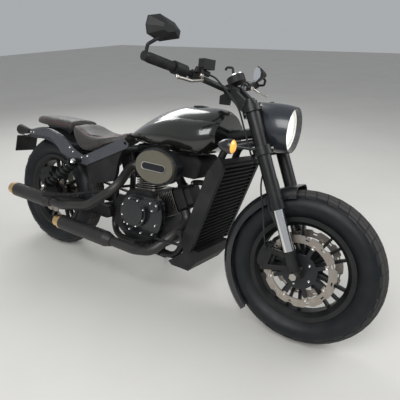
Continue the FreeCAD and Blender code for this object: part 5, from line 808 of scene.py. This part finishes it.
# Screws, metres: on the clutch cover's edge and domes, the air cleaner, both side plates, the shocks'
# ends, and, in the front wheel's frame, the fork clamps
RIGHT = Vector((0, -1, 0))
COVER_FACE = -0.1263
COVER_SCREWS = ((0.617, 0.352), (0.641, 0.412), (0.684, 0.450), (0.826, 0.344), (0.812, 0.296),
                (0.742, 0.284), (0.670, 0.286), (0.633, 0.312))
BIG_DOME = (0.700, COVER_FACE - 0.0196, 0.382)
BIG_CIRCLE = 0.069
SMALL_DOME = (0.815, COVER_FACE - 0.014, 0.436)
SMALL_CIRCLE = 0.021
CLEANER_FACE = (0.862, -0.2041, 0.636)
CLEANER_OVAL = (0.107, 0.075)
PLATE_FACE = 0.1441
PLATE_SCREWS = ((-0.098, 0.658), (-0.072, 0.660), (0.236, 0.622), (0.262, 0.604), (0.330, 0.585),
                (0.372, 0.598))
SHOCK_FACE = 0.1885
SHOCK_ENDS = ((0.316, 0.566), (0.086, 0.392))
CLAMP_FACE = (0.0382, 0.105)
CLAMP_HEIGHTS = (0.497, 0.663)
# Front discs: buttons round the band's inner edge, and the bolts of the carrier, metres
DISC_INSIDE = 0.116
DISC_BUTTONS = 8
BUTTON_HEIGHT = 0.003
HUB_BOLTS = 5
HUB_BOLT_CIRCLE = 0.054


def around(centre, wide, high, turns):
    """Places on an oval of the bike's right side, each with its way out."""
    spots = [Vector((wide * math.cos(turn), 0, high * math.sin(turn))) for turn in turns]
    return [(Vector(centre) + spot, RIGHT) for spot in spots]


class MOTORCYCLE_OT_fasteners(bpy.types.Operator):
    """Screws of the covers, plates, clamps and discs"""
    bl_idname = "motorcycle.fasteners"
    bl_label = "Fasteners"

    def execute(self, context):
        places = [(Vector((x, COVER_FACE, z)), RIGHT) for x, z in COVER_SCREWS]
        for centre, circle, count, start in ((BIG_DOME, BIG_CIRCLE, 8, 0.5),
                                             (SMALL_DOME, SMALL_CIRCLE, 3, 0.2)):
            places += around(centre, circle, circle,
                             [math.tau * (step + start) / count for step in range(count)])
        screws("cover_screws", places, 0.0055, 0.005, BIKE, "chassis", "screw_steel")
        ring = around(CLEANER_FACE, *CLEANER_OVAL, [math.radians(turn) for turn in (118, 28, 205, 300)])
        screws("air_cleaner_screws", ring, 0.0042, 0.004, BIKE, "chassis", "satin_black")
        plates = [(Vector((x, PLATE_FACE * side, z)), Vector((0, side, 0)))
                  for side in (-1, 1) for x, z in PLATE_SCREWS]
        screws("plate_screws", plates, 0.0055, 0.004, BIKE, "chassis", "screw_steel")
        nuts = [(BIKE @ Vector((x, SHOCK_FACE * side, z)), BIKE.to_3x3() @ Vector((0, side, 0)))
                for x, z in SHOCK_ENDS for side in (-1, 1)]
        screws("shock_nuts", nuts, 0.013, 0.010, Matrix(), "chassis", "chrome")
        ahead, aside = CLAMP_FACE
        clamp = [(Vector((ahead, aside * side, height)), Vector((1, 0, 0)))
                 for side in (-1, 1) for height in CLAMP_HEIGHTS]
        screws("clamp_screws", clamp, 0.005, 0.006, FRONT_WHEEL, "steering", "screw_steel")
        screws("disc_bolts", self.disc_places(), 0.0052, 0.0025, FRONT_WHEEL, "front_wheel",
                       "screw_steel")
        return {"FINISHED"}

    def disc_places(self):
        """Places on the front discs' buttons and carriers, in the front wheel's frame."""
        inside = FRONT_WHEEL.inverted()
        button_face = max(abs((inside @ vert.co).y)
                          for vert in frame["nodes"]["front_discs"].data.vertices)
        bolts = []
        for side in (-1, 1):
            for count, radius, face in ((DISC_BUTTONS, DISC_INSIDE, button_face),
                                        (HUB_BOLTS, HUB_BOLT_CIRCLE, button_face - BUTTON_HEIGHT)):
                for step in range(count):
                    turn = math.tau * step / count
                    spot = Vector((radius * math.sin(turn), face * side, radius * math.cos(turn)))
                    bolts.append((spot, Vector((0, side, 0))))
        return bolts


# Airbox under the tank: its outline along the bike, half width and edge bevel, metres
AIRBOX = ((0.800, 0.645), (0.800, 0.688), (0.985, 0.694), (1.012, 0.672), (1.002, 0.606),
          (0.985, 0.592), (0.918, 0.592), (0.905, 0.604), (0.905, 0.645))
AIRBOX_HALF = 0.085
# Coolant hose from the front cylinder's head to the radiator's back
COOLANT = ((0.926, 0, 0.550), (0.955, 0, 0.575), (1.020, 0, 0.562), (1.088, 0, 0.576))
COOLANT_RADIUS = 0.013
HOSE_CLAMP = 0.0016


class MOTORCYCLE_OT_under_tank(bpy.types.Operator):
    """Airbox, coolant hose and its clamps under the tank"""
    bl_idname = "motorcycle.under_tank"
    bl_label = "Under the tank"

    def execute(self, context):
        mesh = bmesh.new()
        side = mesh.faces.new([mesh.verts.new((x, -AIRBOX_HALF, z)) for x, z in AIRBOX])
        pushed = bmesh.ops.extrude_face_region(mesh, geom=[side])["geom"]
        far = [item for item in pushed if isinstance(item, bmesh.types.BMVert)]
        bmesh.ops.translate(mesh, verts=far, vec=(0, AIRBOX_HALF * 2, 0))
        bmesh.ops.recalc_face_normals(mesh, faces=mesh.faces)
        bmesh.ops.bevel(mesh, geom=mesh.edges[:], offset=0.004, segments=3, affect="EDGES")
        made("airbox", mesh, BIKE, "chassis", "textured_black")
        line = interpolate_bezier(*(Vector(point) for point in COOLANT), 24)
        made("coolant_hose", self.tube(line), BIKE, "chassis", "tyre_rubber")
        clamps = bmesh.new()
        for spot, after in ((line[2], line[3]), (line[-3], line[-2])):
            ring = band(COOLANT_RADIUS, COOLANT_RADIUS + HOSE_CLAMP, 0.004, 0.004)
            joined(clamps, ring, facing(spot, after - spot))
        made("coolant_clamps", clamps, BIKE, "chassis", "screw_steel")
        return {"FINISHED"}

    def tube(self, line):
        """A closed round tube along a line."""
        mesh = bmesh.new()
        rings = []
        for number, spot in enumerate(line):
            ahead = line[min(number + 1, len(line) - 1)] - line[max(number - 1, 0)]
            circle = bmesh.ops.create_circle(mesh, cap_ends=number in (0, len(line) - 1), segments=20,
                                             radius=COOLANT_RADIUS, matrix=facing(spot, ahead))
            rings.append(circle["verts"])
        for first, last in zip(rings, rings[1:]):
            for index in range(len(first)):
                mesh.faces.new((first[index - 1], first[index], last[index], last[index - 1]))
        bmesh.ops.recalc_face_normals(mesh, faces=mesh.faces)
        return mesh


# Air cleaner's badge: its place on the bike, and the half length and radius of its oblong, metres
BADGE_PLACE = (0.862, -0.2223, 0.636)
BADGE_HALF = 0.048
BADGE_RADIUS = 0.017


class MOTORCYCLE_OT_badge(bpy.types.Operator):
    """Bare oblong badge on the air cleaner"""
    bl_idname = "motorcycle.badge"
    bl_label = "Badge"

    def execute(self, context):
        mesh = bmesh.new()
        for side in (-1, 1):
            bmesh.ops.create_circle(mesh, segments=24, radius=BADGE_RADIUS,
                                    matrix=Matrix.Translation((BADGE_HALF * side, 0, 0)))
        inner = [vert for vert in mesh.verts if abs(vert.co.x) < BADGE_HALF - 0.0001]
        bmesh.ops.delete(mesh, geom=inner, context="VERTS")
        bmesh.ops.convex_hull(mesh, input=mesh.verts[:])
        bmesh.ops.dissolve_limit(mesh, angle_limit=0.01, verts=mesh.verts[:], edges=mesh.edges[:])
        bmesh.ops.solidify(mesh, geom=mesh.faces[:], thickness=0.002)
        top = max(mesh.faces, key=lambda face: face.calc_center_median().z)
        bmesh.ops.inset_region(mesh, faces=[top], thickness=0.0026)
        bmesh.ops.translate(mesh, verts=top.verts, vec=(0, 0, -0.0012))
        top.material_index = 1
        place = BIKE @ facing(BADGE_PLACE, RIGHT)
        badge = made("air_cleaner_badge", mesh, place, "chassis", "screw_steel")
        badge.data.materials.append(bpy.data.materials["gloss_black"])
        return {"FINISHED"}


# Left end of the handlebar and the bend before it, metres in the bike's frame, and the ribs of a
# grip: their number, pitch and the first one's distance from the end
BAR_END = (0.978, 0.452, 1.046)
BAR_BEND = (1.010, 0.250, 1.024)
RIBS = 14
RIB_PITCH = 0.008
FIRST_RIB = 0.112


class MOTORCYCLE_OT_grips(bpy.types.Operator):
    """Ribs round the handlebar grips"""
    bl_idname = "motorcycle.grips"
    bl_label = "Grips"

    def execute(self, context):
        mesh = bmesh.new()
        for side in (-1, 1):
            mirror = Vector((1, side, 1))
            end = Vector(BAR_END) * mirror
            ahead = (end - Vector(BAR_BEND) * mirror).normalized()
            for step in range(RIBS):
                middle = end - ahead * (FIRST_RIB - RIB_PITCH * step)
                joined(mesh, band(0.0168, 0.0182, 0.0014, 0.0012), facing(middle, ahead))
        made("grip_ribs", mesh, BAR, "steering", "tyre_rubber")
        return {"FINISHED"}


# Chain: pitch and side plane, and the sprockets' centres and radii at the rollers, metres
CHAIN_PITCH = 0.0127
CHAIN_SIDE = 0.089
REAR_SPROCKET = ((0, 0, REAR_RADIUS), 0.1105)
FRONT_SPROCKET = ((0.556, 0, 0.342), 0.0445)


class MOTORCYCLE_OT_chain_links(bpy.types.Operator):
    """Side plates of the chain's links along the chain's band"""
    bl_idname = "motorcycle.chain_links"
    bl_label = "Chain links"

    def execute(self, context):
        rear, big = Vector(REAR_SPROCKET[0]), REAR_SPROCKET[1]
        front, small = Vector(FRONT_SPROCKET[0]), FRONT_SPROCKET[1]
        run = front - rear
        tilt = math.acos((big - small) / run.length)
        slope = math.atan2(run.z, run.x)
        spots = []

        def arc(centre, radius, first, last):
            count = round(radius * abs(last - first) / CHAIN_PITCH)
            for step in range(count):
                turn = first + (last - first) * step / count
                spots.append((tangent(centre, radius, turn), turn + math.pi / 2))

        def straight(first, last):
            count = round((last - first).length / CHAIN_PITCH)
            heading = math.atan2(last.z - first.z, last.x - first.x)
            for step in range(count):
                spots.append((first.lerp(last, step / count), heading))

        def tangent(centre, radius, turn):
            return centre + Vector((math.cos(turn), 0, math.sin(turn))) * radius

        up, low = slope + tilt, slope - tilt
        arc(rear, big, up, low + math.tau)
        straight(tangent(rear, big, low), tangent(front, small, low))
        arc(front, small, low, up)
        straight(tangent(front, small, up), tangent(rear, big, up))
        mesh = bmesh.new()
        for number, (spot, heading) in enumerate(spots):
            for side in (-1, 1):
                out = (0.0070 if number % 2 else 0.0062) * side
                place = (Matrix.Translation(spot + Vector((0, CHAIN_SIDE + out, 0)))
                         @ Matrix.Rotation(-heading, 4, "Y") @ Matrix.Rotation(math.pi / 2, 4, "X")
                         @ Matrix.Diagonal((0.0100, 0.0050, 0.0016, 1)))
                bmesh.ops.create_cone(mesh, cap_ends=True, segments=10, radius1=1, radius2=1,
                                      depth=1, matrix=place)
        made("chain_links", mesh, BIKE, "chassis", "chain_steel")
        return {"FINISHED"}


# Instrument: its stalk's foot on the bike, how far the dial lies along and up its tilt, metres, the
# dial's radius, and its marks, degrees
GAUGE_FOOT = (1.088, 0, 0.985)
GAUGE_ALONG = 0.024
GAUGE_UP = 0.0532
GAUGE_TILT = math.radians(30)
DIAL_RADIUS = 0.033
MARKS = range(-130, 131, 13)


class MOTORCYCLE_OT_dial(bpy.types.Operator):
    """Dial, marks and needle of the round instrument"""
    bl_idname = "motorcycle.dial"
    bl_label = "Dial"

    def execute(self, context):
        up = Vector((-math.sin(GAUGE_TILT), 0, math.cos(GAUGE_TILT)))
        along = Vector((math.cos(GAUGE_TILT), 0, math.sin(GAUGE_TILT)))
        centre = Vector(GAUGE_FOOT) + along * GAUGE_ALONG + up * GAUGE_UP
        place = BAR @ facing(centre, up)
        mesh = bmesh.new()
        bmesh.ops.create_cone(mesh, cap_ends=True, segments=48, radius1=DIAL_RADIUS,
                              radius2=DIAL_RADIUS, depth=0.0010, matrix=Matrix.Translation((0, 0, 0.0005)))
        made("gauge_dial", mesh, place, "steering", "dial_face")
        marks = bmesh.new()
        for number, turn in enumerate(MARKS):
            size = Matrix.Diagonal((0.0007, 0.0026 if number % 2 else 0.0046, 0.0004, 1))
            bmesh.ops.create_cube(marks, size=1, matrix=Matrix.Rotation(math.radians(turn), 4, "Z")
                                  @ Matrix.Translation((0, 0.0285, 0.0012)) @ size)
        bmesh.ops.create_cube(marks, size=1, matrix=Matrix.Rotation(math.radians(118), 4, "Z")
                              @ Matrix.Translation((0, 0.011, 0.0018))
                              @ Matrix.Diagonal((0.0010, 0.026, 0.0006, 1)))
        made("gauge_marks", marks, place, "steering", "thread")
        rim = turned([(DIAL_RADIUS, 0, 0), (0.0372, 0, 0), (0.0372, 0, 0.003), (0.0350, 0, 0.0042),
                      (DIAL_RADIUS, 0, 0.003)], 48, axis=(0, 0, 1), loop=True)
        made("gauge_bezel", rim, place, "steering", "chrome")
        return {"FINISHED"}


STEPS = (MOTORCYCLE_OT_stage, MOTORCYCLE_OT_finishes, MOTORCYCLE_OT_tyres, MOTORCYCLE_OT_seats,
         MOTORCYCLE_OT_headlight, MOTORCYCLE_OT_fasteners, MOTORCYCLE_OT_under_tank,
         MOTORCYCLE_OT_badge, MOTORCYCLE_OT_grips, MOTORCYCLE_OT_chain_links, MOTORCYCLE_OT_dial)


class MOTORCYCLE_PT_panel(bpy.types.Panel):
    """Steps of the motorcycle"""
    bl_idname = "MOTORCYCLE_PT_panel"
    bl_label = "Motorcycle"
    bl_space_type = "VIEW_3D"
    bl_region_type = "UI"
    bl_category = "Motorcycle"

    def draw(self, context):
        for step in STEPS:
            self.layout.operator(step.bl_idname)


CLASSES = (MotorcycleColours, MotorcycleSizes) + STEPS + (MOTORCYCLE_PT_panel,)


def register():
    """Register the classes and the scene's own settings."""
    for kind in CLASSES:
        bpy.utils.register_class(kind)
    bpy.types.Scene.motorcycle_colours = bpy.props.PointerProperty(type=MotorcycleColours)
    bpy.types.Scene.motorcycle_sizes = bpy.props.PointerProperty(type=MotorcycleSizes)


def unregister():
    """Take the settings and classes away again."""
    del bpy.types.Scene.motorcycle_colours
    del bpy.types.Scene.motorcycle_sizes
    for kind in reversed(CLASSES):
        bpy.utils.unregister_class(kind)


def main():
    """Make every piece in order and note both boxes."""
    register()
    surface_group()
    for step in STEPS:
        space, name = step.bl_idname.split(".")
        getattr(getattr(bpy.ops, space), name)()


if __name__ == "__main__":
    main()
